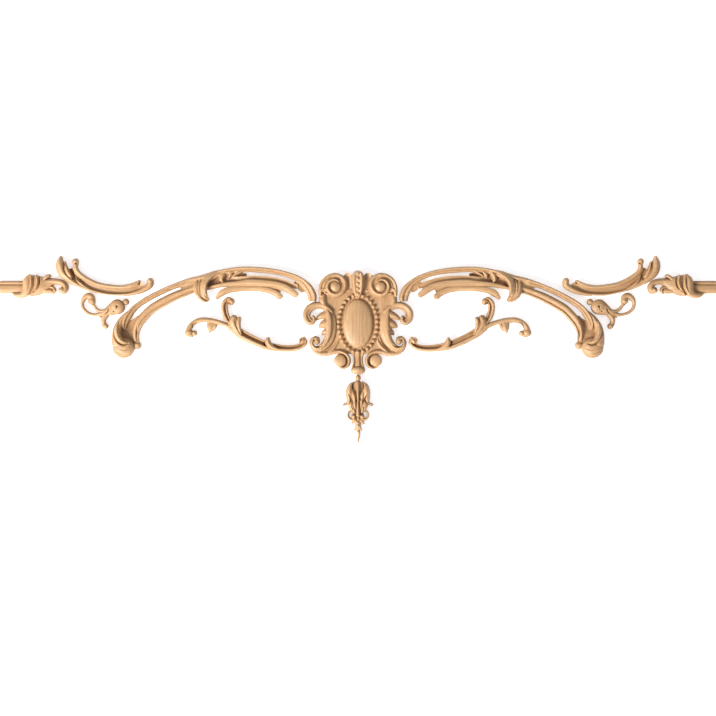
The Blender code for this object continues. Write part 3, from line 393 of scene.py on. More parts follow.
class Plate:
    """A level ground inside a smooth closed outline."""

    cuts = False

    def __init__(self, corners, crest):
        count = len(corners)
        knots = [(x, z, 1, crest) for x, z in corners]
        loop = smooth_path([knots[(i - 1) % count] for i in range(count + 3)])
        half = len(loop) // 2
        from_start = np.linalg.norm(loop[:, :2] - corners[0], axis=1)
        self.edge = loop[from_start[:half].argmin() : half + from_start[half:].argmin(), :2]
        self.crest = crest

    def box(self, margin):
        return self.edge.min(0) - margin, self.edge.max(0) + margin

    def measure(self, points):
        start = self.edge
        end = np.roll(start, -1, axis=0)
        distance = np.empty(len(points))
        for lo in range(0, len(points), CHUNK):
            some = points[lo : lo + CHUNK]
            apart = project(some, start, end - start)[-1].min(1)
            distance[lo : lo + CHUNK] = np.where(within(some, start, end), -apart, apart)
        return np.array([distance, distance, np.full(len(points), self.crest)])

    def top(self, measured):
        distance, _, crest = measured
        return crest - DRAFT * np.maximum(distance, 0)


def within(points, start, end):
    """Which points lie inside closed loops given by the starts and ends of their edges."""
    x, z = points[:, :1], points[:, 1:]
    spans = (start[:, 1] > z) != (end[:, 1] > z)
    rise = np.where(end[:, 1] == start[:, 1], TINY, end[:, 1] - start[:, 1])
    crossing = start[:, 0] + (z - start[:, 1]) / rise * (end[:, 0] - start[:, 0])
    return (spans & (x < crossing)).sum(1) % 2 == 1


def bands(profile, *lines):
    """A band of one section along each list of knots."""
    return [Strand(knots, profile) for knots in lines]


def both_sides(strokes):
    """Each stroke and its mirror image."""
    return [side for stroke in strokes for side in (stroke, stroke.mirrored())]


def arm():
    """The long arm: an outer rim and an inner band that meet at a clasp, two reeds and a ball foot."""
    rim = [
        (466, -8, 3.4, 20), (464, 3, 5.6, 22), (458, 16, 6.6, 21.5), (443, 34.6, 5.8, 19.5),
        (394, 63.4, 5.4, ARM_RIM), (354, 79.6, 5.8, ARM_RIM), (334, 83.8, 8.4, ARM_RIM),
        (314, 87.4, 9.4, ARM_RIM), (294, 95, 8, 20), (274, 102.2, 6, ARM_RIM), (236, 108.6, 5.6, ARM_RIM),
        (196, 108, 5.6, ARM_RIM), (160, 103.4, 5.4, ARM_RIM), (136, 97, 5.6, ARM_RIM),
        (120, 90.4, 6, ARM_RIM), (108.6, 82.4, 7, ARM_RIM), (100, 72.6, 8.8, ARM_RIM), (94, 62, 9.2, 18),
        (91.4, 53, 9, 17), (91.8, 45.4, 7.4, 16),
    ]
    band = [
        (442.4, -35, 5.6, 14), (443.4, -20, 6.4, 16), (440.6, -7, 7.6, 17), (436, 3, 8.8, 18),
        (429, 12.4, 9.4, 18), (413, 28.8, 9.4, 18), (398, 38.2, 9.4, 18), (370, 53, 9, 18),
        (342, 64.2, 8, 18), (316, 73, 7.2, 18),
    ]
    strokes = [
        Strand(rim, RIM, (False, True)),
        Strand(band, BAND),
        Dome(441, -42.8, 8.4, 8, 16),
        Strand([(439.6, 14, 3, 9), (444.6, 7, 5, 7), (453, -3, 10, 7), (459, -11, 13.6, 8),
                (459, -20, 14, 10), (460, -32, 13, 12)], FLOOR),
        Strand([(456, 27, 1.6, 17), (463, 19.6, 3.6, 19), (469.6, 11, 5.6, 21), (475.6, 1, 7.2, 23),
                (480, -10, 8.2, 25), (482, -24, 9, 26.4), (479, -38, 12, 27.4)], LEAF),
        Strand([(477.6, 4, 1.4, 24), (480.4, -7, 4, 28.4), (480, -18, 4.8, 31), (475.6, -29.6, 5.2, 32.2),
                (468.4, -35.6, 4, 31.6), (461.4, -37.4, 2, 29)], RIDGE),
        Dome(468, -47.8, 21.6, 20.6, 28),
        Strand([(302, 81, 11, 5), (278, 88, 10, 5), (254, 94, 8, 6), (238, 97, 6.4, 5),
                (225, 98.4, 3, 4)], FLOOR, (True, False)),
    ]
    clasp = [
        Strand([(322.6, 88, 4, 17), (321.6, 80, 5.6, 20), (321.8, 69, 6, 23), (318.4, 57, 4.8, 25),
                (311.4, 48.8, 3.8, 25), (304, 45.4, 2.6, 22), (298.6, 46.6, 1.6, 17)], RIDGE),
        Strand([(272, 106, 2, 18), (287, 101, 4.6, 21), (299, 93, 6.4, 24.5), (306.4, 82, 6.6, 27),
                (308.6, 69, 6.8, 28), (307, 58, 6, 27), (303, 51.4, 4.4, 24), (298.6, 48, 2.2, 19)], LIP),
        Strand([(314, 86, 2, 20), (316, 78, 2.8, 23), (316.4, 67, 3, 25), (313.4, 56, 2.6, 25),
                (307.6, 49.4, 1.8, 22)], RIDGE),
    ]
    lobes = bands(
        LEAF,
        [(264, 105, 2.4, 15), (270, 98, 5.4, 17), (272.6, 89, 4.2, 17), (269.4, 82.8, 1.6, 14)],
        [(248, 105.6, 2, 14), (254.6, 99.4, 4.2, 16.5), (257.4, 91, 1.5, 13)],
        [(232, 105, 2.4, 14), (241, 101.4, 3.4, 15.5), (250, 95.6, 1.6, 13)],
    )
    webs = bands(
        FLOOR,
        [(352, 73, 2.5, 14), (336, 78.4, 6, 16.5), (318, 86, 9, 18.5), (308, 88, 9, 18)],
        [(270, 85.6, 5, 6), (252, 88.4, 5.4, 8), (238, 90, 5, LEDGE), (206, 92.4, 4.2, LEDGE),
         (176, 91, 4, LEDGE), (152, 85.6, 4.6, LEDGE), (138, 80.4, 5.4, LEDGE), (124, 75, 5, LEDGE)],
        [(124, 82, 4, 11), (116, 76, 8, 12), (110.4, 70.4, 7.4, 12)],
        [(178, 70, 3, 12), (166, 67.6, 4.6, 12.5), (158.4, 66.6, 4.6, 12.5)],
    )
    reeds = bands(
        REED,
        [(304, 70, 3, 14), (286, 74.6, 3.8, 15), (266, 78.2, 4.6, 16), (236, 80.6, 6, 17),
         (216, 82.4, 7, REED_TOP), (192, 81.4, 6.8, REED_TOP), (172, 79.4, 6.8, REED_TOP),
         (156, 76.4, 6.8, REED_TOP), (142, 70.6, 7, REED_TOP), (132, 64, 7.2, REED_TOP),
         (125.4, 58.6, 6.4, 17)],
        [(282, 51.6, 3.2, 10), (272, 61.6, 6.4, 13), (256, 67.8, 6, 14), (236, 69.8, 5.2, 14),
         (216, 70.6, 5, 14), (196, 69.8, 5.4, 14), (176, 65.8, 6, 14), (163.6, 60.2, 6.4, 15),
         (157, 54.8, 6.6, 16)],
    )
    return strokes + clasp + lobes + webs + reeds


def trough():
    """The hollow boat-shaped leaf above the rod end: a coved band with a curled leaf and a scroll."""
    cove = [
        (574, 111, 11, 14), (569, 101, 12.6, 14.5), (559, 92, 12.8, TROUGH_RIM), (542, 81.6, 12, TROUGH_RIM),
        (520, 72.8, 11.2, TROUGH_RIM), (496, 68.2, 11.2, TROUGH_RIM), (472, 67.2, 10.4, TROUGH_RIM),
        (452, 69.2, 10.2, TROUGH_RIM), (436, 74.4, 8.4, 13),
    ]
    return [
        Strand(cove, COVE, (True, True)),
        Strand([(466, 57.8, 2, 12), (452, 60.4, 3.6, 14.5), (436, 65, 5, 15.5), (424, 71, 6, 16),
                (415.4, 78, 6.4, 17), (414, 85, 6, 17)], LEAF),
        Dome(415, 86, 6.6, 6.6, 19),
        Strand([(470, 76, 2, 13.5), (456, 77.4, 3, 15), (446, 80.6, 3.4, 15), (437, 85.4, 2.8, 14)], ROUND),
        Strand([(456, 71, 6, 5.5), (444, 74, 8, 8), (434, 76, 7, 11), (428, 73, 6, 13)], FLOOR),
        Dome(564, 124.6, 6.6, 6.6, 19),
        Strand([(563.4, 122, 5.4, 18), (563.4, 112, 4.4, 17), (557, 101.6, 4, 16), (546, 92, 3.6, 15),
                (532, 84.4, 2.8, 14), (516, 80, 2, 13)], LEAF),
        Strand([(593.6, 133, 3.2, 19), (595, 122, 7.4, 22), (593.4, 112, 9.4, 22), (588, 101, 9.4, 21),
                (577, 90.4, 7.6, 19), (564, 80.4, 5, 16.5), (545, 71, 3, 15), (522, 63.6, 2, 13.5)], LEAF),
        Strand([(585, 124, 1.5, 17), (582, 112, 3, 21), (577, 101, 3.4, 20.5),
                (569.4, 90.6, 1.4, 15)], LEAF),
        Strand([(565, 95.6, 1.2, 13), (559, 86, 3, 16), (548, 76.4, 3.2, 15), (534, 69, 2, 13.5)], LEAF),
    ]


def comma():
    """The small scroll: a ring with a rounded bud, a bead at its tip and a foot."""
    loop = [
        (530.4, 44, 6, 13), (532, 53, 6.4, 14), (539.4, 56.4, 6, 14), (547.6, 51, 5.2, 13),
        (551.6, 41, 3.8, 11), (548.4, 30, 3.6, 10), (539, 21.6, 3.4, 10), (526, 18, 3.2, 10),
        (514, 20, 4.4, 12), (504, 23, 6.8, 14), (492, 29, 11.6, 16), (482, 34, 15.2, 17),
    ]
    return [
        Strand(loop, ROUND),
        Dome(481, 34, 15.6, 15.2, 18),
        Dome(532.4, 46, 7.4, 7.4, 16),
        Dome(463.6, 44, 6.4, 6.4, 12),
        Strand([(531, 41, 4, 12), (526.4, 35, 3.2, 10), (521, 28.4, 3.2, 10), (512, 25.4, 3.6, 12),
                (502, 27, 4, 14)], ROUND),
        Strand([(503, 19, 6.4, 13), (508.4, 10, 5.4, 12), (508.4, 2, 5, 11), (505, -4, 5.2, 11)], ROUND),
        Dome(504.2, -4.6, 5.9, 5.9, 14),
        Dome(514, 14, 3.4, 3, 10),
    ]


def vine():
    """The wavy vine under the arm: a channelled stem, two curled branches and a leaf round their fork."""
    stem = [
        (251, -6, 9.4, VINE_TOP), (237, -17.4, 9.6, VINE_TOP), (219, -27.6, 9.4, VINE_TOP),
        (200.6, -36.2, 9, VINE_TOP), (184.4, -42.8, 8.4, VINE_TOP), (166, -46.8, 7.6, 14),
        (148, -48.8, 7, 14), (130, -48.6, 6.6, 14), (115, -44.6, 6.2, 14), (106.8, -37, 5.6, 14),
        (108.4, -30, 4.4, 14),
    ]
    return [
        Strand(stem, STEM),
        Dome(112.4, -33.4, 6.6, 6.6, 17, edge=0.7),
        Strand([(156, -51, 1.6, 14), (167, -48, 3.6, 17), (176, -42, 5.6, 19), (180, -35, 5.8, 20),
                (179.4, -29, 3.2, 19)], LEAF),
        Strand([(254, 0, 4, 14), (262.4, 14, 6.4, 15), (266.4, 28, 7, 16), (266, 40, 6.8, 17),
                (259, 48.4, 5.6, 17), (252, 46, 4.8, 16)], BRANCH),
        Dome(253.4, 44.6, 7.2, 7.2, 19),
        Strand([(236, -22, 2.4, 16), (243.6, -9, 6.6, 19), (249, 4, 8.4, 20), (247.6, 11, 7, 19)], LEAF),
        Strand([(233, -20, 2, 16), (237.4, -6, 3.6, 20), (238.4, 5, 4.4, 21), (236.6, 11, 3.8, 20)], LEAF),
        Strand([(250, -9, 5.2, 14), (264, -2, 5, 14), (282, 4.4, 4.8, 14), (300, 7.6, 5.2, 14),
                (316, 7.4, 5.4, 14), (329, 2, 5.2, 14), (336.8, -8, 5.8, 15), (338.4, -18, 6.4, 15),
                (333, -22.6, 5, 15)], ROUND),
        Dome(337.6, -17.6, 8.6, 8.6, 17),
        Dome(326.4, -18.6, 5.4, 5.6, 17),
        Strand([(293, 3, 9, 12.5), (294, -6, 8, 13.5), (295.4, -12, 4.4, 12.5),
                (297.4, -17.4, 1.6, 9)], ROUND),
        Strand([(284, 2, 4, 12), (286.6, -6, 4, 13), (289.6, -13.4, 1.4, 10)], LEAF),
    ]


def beads():
    """A ring of beads at an even pitch along an oval."""
    fine = 2000
    turns = 2 * math.pi * (np.arange(fine) + 0.5) / fine
    run = np.cumsum(np.hypot(BEAD_RING_X * np.sin(turns), BEAD_RING_Z * np.cos(turns)))
    even = np.interp((np.arange(BEADS) + 0.5) * run[-1] / BEADS, run, turns)
    spots = [(BEAD_RING_X * math.cos(t), OVAL_MIDDLE + BEAD_RING_Z * math.sin(t)) for t in even]
    return [Dome(x, z, BEAD, BEAD, BEAD_TOP, edge=0.6) for x, z in spots]


def cartouche():
    """The shield: an oval boss in a ring of beads, with volutes at its corners and leafy side scrolls."""
    upper_volute = [
        Dome(50, 77, 25, 21, 17, edge=0.95, power=6),
        Strand([(75, 57, 3.4, 19), (75.6, 68, 3.4, 19.5), (73.4, 80, 3.4, 20), (66.4, 90.4, 3.4, 20.5),
                (55, 96.8, 3.6, 21), (43, 97.6, 4, 21.5), (32.4, 92.8, 4.2, 22), (26.6, 84, 4.4, 22.5),
                (26.8, 72.6, 4.6, 23), (33.6, 62.6, 4.6, 23.5), (45, 58.4, 4.4, 23.5), (55.8, 62.4, 4.2, 24),
                (61, 71.6, 3.8, 24), (59.4, 80.8, 3.4, 24), (53, 87, 3, 24), (45, 88.4, 2.6, 24),
                (38.2, 84.6, 2, 23)], RIDGE),
        Strand([(66, 61, 2.4, 15), (68.4, 72, 3.2, 18), (65.8, 82, 3.2, 19.4),
                (58.4, 89.6, 2.4, 19.4)], LEAF),
        Dome(44.6, 74.2, 10.2, 10.2, 25, edge=0.8),
        Strand([(61, 69, 1.8, 18), (68, 70, 3, 20), (73.4, 66, 3.2, 20), (74.8, 58, 3, 19)], LEAF),
        Strand([(70.4, 55, 6.4, 18), (71, 48, 7.2, 19), (68.4, 39, 7, 18), (63, 31, 6, 16)], LEAF),
    ]
    side_scroll = [
        Strand([(54, 24, 5, 18), (66, 33.4, 6.4, 18), (78, 37, 7, 18), (90, 35.2, 7.6, 18.5),
                (99, 28.4, 8, 19), (103, 18, 8, 20), (100.4, 7.6, 7.4, 21), (94, 3.4, 6.4, 22),
                (89.4, 7.4, 5.4, 22), (89.6, 13, 4.2, 22)], SCROLL),
        Strand([(63, 34, 2, 16), (57.6, 24, 7, 20), (54, 11, 10, 22), (53.4, -4, 11, 23),
                (55, -20, 10.6, 23), (60.4, -34, 9.4, 22), (68, -44, 8, 21), (78, -50, 6.6, 20),
                (87, -48.6, 5, 20), (92.6, -41.4, 4.2, 20), (92, -33, 4, 20), (86, -27.6, 3.8, 20),
                (79.6, -29, 3.2, 20)], SHELL),
        Dome(81.8, -34.6, 6, 7, 22),
    ]
    side_leaf = bands(
        LEAF,
        [(58, 24, 6, 18), (65, 18.6, 8, 19), (73, 15.4, 6.4, 18.5), (79.6, 12, 4, 16), (83, 8, 1.4, 12)],
        [(58, 2, 10, 19), (68, -0.6, 8.4, 18.5), (74, -3.4, 4.6, 15.5), (78, -6.4, 1.4, 12)],
        [(58, -13, 8, 18), (66.4, -16.4, 5.6, 16), (71.6, -21, 1.4, 12)],
    )
    lower_volute = [
        Strand([(94, -38, 2.6, 12), (90.4, -50, 3.6, 13), (79, -58, 4.6, 14.5), (62, -59.2, 5.2, 16),
                (48, -56, 5, 17), (36, -55.2, 4.2, 18), (24.6, -60, 3.6, 19), (17.6, -71, 3.4, 19),
                (20.4, -83, 3.2, 19), (30, -88, 3, 18), (38, -86, 2, 15)], LEAF),
        Dome(35.4, -73, 13, 12.6, 19, edge=0.72),
        Dome(32, -72.6, 15, 15, GROUND, edge=0.95, power=6),
        Strand([(38, -26, 1.6, 12), (41, -37, 3, 14), (48, -47, 4.2, 15.5), (58, -56, 4, 16)], LEAF),
    ]
    half_ground = [
        (30, 97), (58, 93), (70, 84), (74, 66), (70, 46), (60, 26), (58, 0), (61, -30), (72, -46), (74, -55),
        (52, -58), (34, -60), (16, -60),
    ]
    ground = [(0, 97)] + half_ground + [(0, -66)] + [(-x, z) for x, z in reversed(half_ground)]
    tab = [(0, -56, 12, 14), (0, -66, 10.4, 14), (0, -76, 10, 15), (0, -84, 11.6, 16), (0, -92, 14.2, 18)]
    centre = [
        Plate(ground, GROUND),
        *both_sides([Strand([(20, 94, 8, 17), (20, 84, 8, 16), (18, 72, 6, 13)], FLOOR)]),
        Strand(tab, TAB, (False, True)),
        Dome(0, -92.6, 14.6, 8.6, 21, edge=0.6),
        Strand([(0, 53, 3, 18), (0, 60, 7, 22), (0, 69, 10, 25.4), (0, 80, 11.8, 27.4), (0, 92, 12, 29),
                (0, 95, 11.6, 29)], STRAP),
        Dome(0, OVAL_MIDDLE, OVAL_X, OVAL_Z, 22, edge=0.6, power=2.2),
    ]
    pearls = [
        Dome(0, FIRST_PEARL - PEARL_PITCH * i, PEARL_X, PEARL_Z, PEARL_TOP - PEARL_DROP * i, edge=0.74)
        for i in range(PEARLS)
    ]
    sides = both_sides(upper_volute + side_scroll + side_leaf + lower_volute)
    return sides + centre + pearls + beads()


def pendant():
    """The husk that hangs under the cartouche: a bead, folded leaves, curls and a twisted tail."""
    core = [
        (0, -158, 13, 14), (0, -172, 12.4, 15), (0, -184, 9, 16), (0, -196, 6.6, 17), (0, -206, 5.6, 16),
        (0.4, -212.6, 4, 14), (2.2, -219, 2.8, 11), (1.6, -226, 2.4, 9.5), (-0.2, -232, 2, 8.5),
        (1.2, -238, 1, 7),
    ]
    centre = [
        Dome(0, -107.6, 5.8, 6.2, 17),
        Strand([(0, -112, 3.4, 12), (0, -120, 5, 13)], ROUND),
        Dome(0, -145, 20, 30, 18, edge=0.8, power=4),
        Strand(core, ROUND),
        Strand([(0, -118.6, 6.4, 20), (0, -123, 5.4, 21)], ROUND),
        Strand([(0, -122, 3.4, 24), (0, -136, 3.2, 27), (0, -152, 2, 26)], RIDGE),
        Strand([(0, -154, 2, 23), (0, -166, 2.8, 25), (0, -179, 3.2, 25)], RIDGE),
        Dome(0, -181.4, 4.6, 4, 25),
        Dome(0, -203, 3.6, 3.2, 20),
    ]
    half = [
        Strand([(8.6, -117, 2.4, 18), (14.4, -124, 6, 23), (16.6, -134, 7.8, 26), (17.4, -144, 7, 25.5),
                (18.6, -153, 4.6, 22), (22, -158.8, 3, 18), (28.4, -161.4, 2.8, 17)], HUSK),
        Strand([(12, -133, 3, 23), (9, -142, 4.6, 26), (6.8, -151, 3.6, 25), (6.8, -160, 3.2, 24.5),
                (5.4, -168, 2, 22)], RIDGE),
        Strand([(17, -149, 3, 19), (15, -158, 5.6, 23), (12, -167, 5.8, 24), (7.4, -176, 3, 21)], RIDGE),
        Strand([(7, -173, 3, 18), (13.4, -172.4, 2.6, 18), (19.4, -178, 2.6, 18), (19.6, -185.4, 2.8, 18),
                (14, -190.6, 2.8, 18), (8.6, -189.6, 3, 19)], ROUND),
        Dome(8.6, -184.8, 4.6, 4.6, 23),
        Strand([(3, -190, 4.4, 18), (8, -194.4, 3.4, 17), (12, -198.4, 1.8, 12)], LEAF),
        Strand([(2, -204, 4, 17), (5, -209, 2.6, 15), (7, -212, 1.4, 11)], LEAF),
    ]
    return centre + both_sides(half)


def rod_end():
    """The end of the moulded rod: the rod itself, a cuff of folded leaves and a curled stalk."""
    rod = [(ROD_END, ROD_Z, ROD_HALF, ROD_TOP), (650, ROD_Z, ROD_HALF, ROD_TOP)]
    return [
        Strand(rod, ROD, (True, True)),
        Strand([(662, 77, 17, 19), (650, 76.6, 21, 22), (636, 77.4, 18, 22), (624, 80, 13, 19),
                (612, 84, 8, 17)], ROUND, (True, False)),
        Strand([(655, 95.6, 4, 21), (659.4, 87, 7.4, 24), (659.6, 75, 8.4, 25), (661, 65, 8, 24.6),
                (669, 58, 6, 22), (681, 57, 4.6, 18), (689.4, 61.6, 2, 13)], RIDGE),
        Strand([(652.4, 96, 2, 22), (651, 86, 2.6, 26.2), (651.4, 76, 2.8, 27), (655.6, 66, 3, 26.4),
                (663, 58, 3, 24), (673, 54, 2, 18)], RIDGE),
        Strand([(641, 96, 2.4, 22), (638.8, 86, 3.4, 25), (639.8, 76, 3.6, 27), (644.6, 66, 3.6, 25),
                (652, 57.4, 3, 20)], LEAF),
        Strand([(628, 84.6, 6.4, 19), (614, 85, 6.4, 18), (601, 84.6, 6.2, 18), (590, 81.6, 6, 19),
                (584, 74, 6.4, 20), (586.6, 66, 6.4, 21), (592, 66, 5.6, 21)], LEAF),
        Dome(591, 67.4, 6.6, 6.6, 23),
        Strand([(630, 86, 3, 18), (622, 93, 4.2, 20), (616.4, 96.4, 3.2, 19)], LEAF),
        Strand([(634, 69, 6, 18), (622, 66, 6, 18), (613, 66, 5.4, 17)], LEAF),
        Strand([(616, 73.4, 2, 16), (609, 72.4, 2.8, 18), (605.4, 67, 3, 18), (608.8, 60.6, 2, 14)], LEAF),
    ]


def grooves(*lines):
    """A channel along each list of knots."""
    return [Groove(knots) for knots in lines]


def arm_cuts():
    """The incised lines over the ball foot, the creases beside its crescent and the clasp's fluting."""
    return grooves(
        [(489, -50, 0.8, 0.8), (482, -55, 1.3, 2.2), (474, -59.6, 1.4, 2.6), (466, -60, 0.8, 0.8)],
        [(486, -61, 0.8, 0.8), (476, -65, 1.3, 2.2), (462, -64, 1.4, 2.4), (450, -57, 0.8, 1)],
        [(478, -46, 0.8, 0.6), (470, -51, 1.2, 1.6), (460, -51.4, 1.2, 1.8), (452, -46, 0.8, 0.8)],
        [(485.6, -2, 0.8, 0.8), (486.4, -14, 1.3, 2.6), (485, -24, 1.6, 4), (480.4, -34, 1.7, 5),
         (472.6, -40.4, 1.9, 6), (464.4, -42, 1.7, 6), (457.6, -39.4, 1, 4)],
        [(440, -4, 0.8, 2), (441.4, -14, 1.5, 4), (441.6, -25, 0.9, 3)],
        [(446, -32, 0.8, 2), (442.6, -37, 1.2, 4), (437, -38.4, 0.8, 2)],
        [(304, 88, 0.7, 0.6), (310, 87.4, 0.9, 1.4), (314.6, 81, 1, 1.8), (315.8, 70, 1.1, 2.4),
         (313.8, 57, 1.1, 2.4), (307.4, 48.8, 0.9, 2)],
        [(306, 59, 0.8, 2), (303.6, 55.4, 1.4, 5), (300, 52, 1, 4)],
        [(352, 62, 0.8, 1), (340, 65, 1.1, 2), (330, 67.6, 0.8, 1)],
    )


def trough_cuts():
    """The eye of the curled tip and the folds of the end leaf."""
    eye = Bowl(562.4, 121, 2.4, 2.4, 6)
    return [eye] + grooves(
        [(573.6, 113, 2, 3), (571, 104, 3.6, 4), (566.4, 95.6, 3.4, 4), (558, 88, 2.6, 3),
         (546, 80, 1.6, 2)],
        [(590, 128, 0.8, 1.5), (586, 120, 1.6, 4.5), (587, 110, 1.6, 4), (581, 98, 1.4, 3.4),
         (571, 88, 0.9, 2)],
        [(571, 94, 1, 3), (569.4, 90.4, 1.5, 8), (568.6, 87.6, 1, 4)],
        [(438, 80, 0.8, 3), (434.6, 85, 1.2, 5), (434, 89, 0.9, 3)],
    )


def comma_cuts():
    """The eye of the bud, the slits beside it and the crease at its neck."""
    hollows = [Bowl(480.6, 35.4, 2.2, 2.4, 7), Bowl(486.6, 25.4, 2, 1.8, 3.4)]
    return hollows + grooves(
        [(480.6, 35, 1.2, 4), (482, 31, 1, 3.4), (483.4, 28.6, 0.7, 1)],
        [(497.4, 32, 0.8, 2), (497.6, 27, 1.5, 5), (502, 21.6, 1.2, 4), (507, 19, 0.7, 1)],
        [(528.6, 40, 0.9, 2), (535, 40.6, 1.3, 4), (536.6, 46, 1.1, 3), (533, 50, 0.8, 1.4)],
        [(512, 1, 0.8, 2), (509, -2.6, 1.2, 4), (508.6, -6, 0.8, 2)],
    )


def vine_cuts():
    """The creases of the branches, the hook at the tip and the folds of the wrapped leaf."""
    return grooves(
        [(261, 41.4, 1, 4), (256, 42.4, 1.6, 7), (253.6, 39, 1, 4)],
        [(263.6, 40, 0.8, 1.4), (265.6, 32, 1.1, 2.6), (264.4, 20, 1.1, 2.6), (259, 8, 0.8, 1.4)],
        [(244.6, 10, 0.8, 1.4), (244.4, 0, 1.2, 3.4), (239.6, -12, 1, 2)],
        [(322, 4, 0.8, 3), (329, 0, 1.4, 5), (331, -8, 1.6, 6), (328, -14, 1.2, 5)],
        [(298, -8, 0.7, 0.8), (296, 0, 0.9, 1.6), (290, 5, 0.7, 0.8)],
        [(186.6, -34, 0.9, 4), (187, -42, 1.1, 5), (182.6, -45.6, 0.8, 2)],
        [(115, -38, 0.9, 3), (113, -31.4, 1.4, 6), (109.4, -29, 0.8, 2)],
    )


def rod_end_cuts():
    """The valleys between the folds of the cuff and the fold of the small leaf."""
    return grooves(
        [(648, 96, 0.9, 1.6), (646.4, 86, 1.7, 3.4), (646, 76, 1.8, 3.8), (650, 66, 1.6, 3.4),
         (657.4, 57, 0.9, 1.6)],
        [(636, 94, 1.4, 3), (634.4, 84, 2.2, 5), (636.4, 75, 2.2, 5), (643, 67.4, 1.8, 5),
         (646.4, 63.6, 1.4, 5)],
        [(622, 88, 1, 3), (616, 91.4, 1.3, 4), (612, 90, 0.9, 2)],
        [(599, 70, 0.9, 3), (594.4, 69.6, 1.4, 5), (590.6, 71.4, 0.9, 3)],
        [(614, 66, 0.8, 1.4), (608.6, 69.4, 1, 3), (605.4, 64, 0.8, 1.4)],
    )


def cartouche_cuts():
    """The crevices beside the upper volutes, the spiral grooves and the nick across the tab."""
    half = grooves(
        [(71, 60, 0.9, 1.4), (66.4, 63.4, 1.2, 3), (61.4, 62.6, 1.2, 3), (57.6, 59, 0.9, 1.6)],
        [(93, 25, 0.9, 2), (95.6, 18, 1.4, 5), (93.6, 12.4, 1.5, 5), (90.6, 9, 1.2, 4)],
        [(87.6, -30, 0.9, 3), (88.4, -38, 1.5, 6), (83.6, -44.6, 1.8, 7), (76, -45.6, 1.6, 5),
         (69.6, -42, 0.9, 2)],
        [(37, -60.6, 0.8, 2), (29, -62, 1.4, 5), (23.8, -68, 1.6, 6), (22.4, -75, 1.6, 6), (25, -82, 1.3, 4),
         (30, -86, 0.8, 2)],
        [(44, -22, 0.8, 2), (48, -34, 1.2, 4), (56, -45, 1.3, 4), (65, -52.4, 0.9, 2)],
    )
    nick = [(-13.6, -88, 0.8, 1.4), (0, -84.4, 1.1, 3), (13.6, -88, 0.8, 1.4)]
    return both_sides(half) + grooves(nick)


def pendant_cuts():
    """The deep folds between the leaves of the husk and the ties of its tail."""
    half = grooves(
        [(19.4, -139, 0.8, 3), (15.4, -146, 1.4, 7), (14, -150, 1.4, 7), (16.6, -157, 1.1, 5),
         (19.6, -160, 0.8, 3)],
        [(8.4, -117.6, 0.9, 3), (10.8, -122, 1.7, 7), (11, -127, 1.6, 7), (9.4, -132, 0.9, 3)],
        [(4.4, -146, 0.8, 3), (4.8, -150, 1.4, 8), (4.4, -154, 0.8, 3)],
        [(13, -163, 0.8, 2), (11.4, -167, 1.2, 5), (10.6, -171, 0.8, 2)],
        [(10.6, -170, 0.8, 2), (13.6, -176.4, 0.9, 3), (12, -181, 0.8, 2)],
        [(2, -184, 0.8, 3), (3.8, -190, 1.1, 6), (1.8, -193.6, 0.8, 3)],
    )
    ties = grooves(
        [(-6.4, -115.4, 0.9, 5), (6.4, -115.4, 0.9, 5)],
        [(-6, -211, 0.7, 2), (0, -213.6, 0.9, 4), (6, -211, 0.7, 2)],
    )
    return both_sides(half) + ties + [Bowl(0.6, -194.6, 1.6, 2, 5)]


def relief(strokes, points):
    """Height of the carved surface and distance outside the piece, at each plan point."""
    top = np.full(len(points), -1.0)
    outside = np.full(len(points), FAR)
    for stroke in (s for s in strokes if not s.cuts):
        near = np.flatnonzero(in_box(points, stroke.box(REACH)))
        measured = stroke.measure(points[near])
        top[near] = np.maximum(top[near], stroke.top(measured))
        outside[near] = np.minimum(outside[near], measured[0])
    for stroke in (s for s in strokes if s.cuts):
        near = np.flatnonzero(in_box(points, stroke.box(CUT_REACH)))
        top[near] -= stroke.depth(stroke.measure(points[near]))
    return np.maximum(top, THINNEST), outside


def spread(values, inside, passes):
    """Values blurred over the inside of a piece alone."""
    weight = inside.astype(float)
    mixed = values * weight
    for _ in range(passes):
        for axis in (0, 1):
            mixed = 0.5 * mixed + 0.25 * (np.roll(mixed, 1, axis) + np.roll(mixed, -1, axis))
            weight = 0.5 * weight + 0.25 * (np.roll(weight, 1, axis) + np.roll(weight, -1, axis))
    return np.where(inside, mixed / np.maximum(weight, TINY), values)


def wide_mean(values, inside, reach):
    """Mean over a square window of the inside of a piece."""
    sums = []
    for field in (values * inside, inside.astype(float)):
        for axis in (0, 1):
            padded = np.concatenate([np.zeros_like(field.take([0], axis)), np.cumsum(field, axis)], axis)
            last = field.shape[axis]
            high = np.minimum(np.arange(last) + reach + 1, last)
            low = np.maximum(np.arange(last) - reach, 0)
            field = padded.take(high, axis) - padded.take(low, axis)
        sums.append(field)
    return np.where(inside, sums[0] / np.maximum(sums[1], 1), values)


def tool_marks(points, seed):
    """Slight unevenness left by the gouge, in millimetres."""
    rng = np.random.default_rng(seed)
    low = points.min(0)
    total = np.zeros(len(points))
    for pitch, size in TOOL_WAVES:
        at = (points - low) / pitch
        cell = np.floor(at).astype(int)
        share = at - cell
        share = share * share * (3 - 2 * share)
        bumps = rng.uniform(-1, 1, cell.max(0) + 2)
        column, row = cell.T
        right, up = share.T
        near = bumps[column, row] * (1 - right) + bumps[column + 1, row] * right
        far = bumps[column, row + 1] * (1 - right) + bumps[column + 1, row + 1] * right
        total += size * (near * (1 - up) + far * up)
    return total


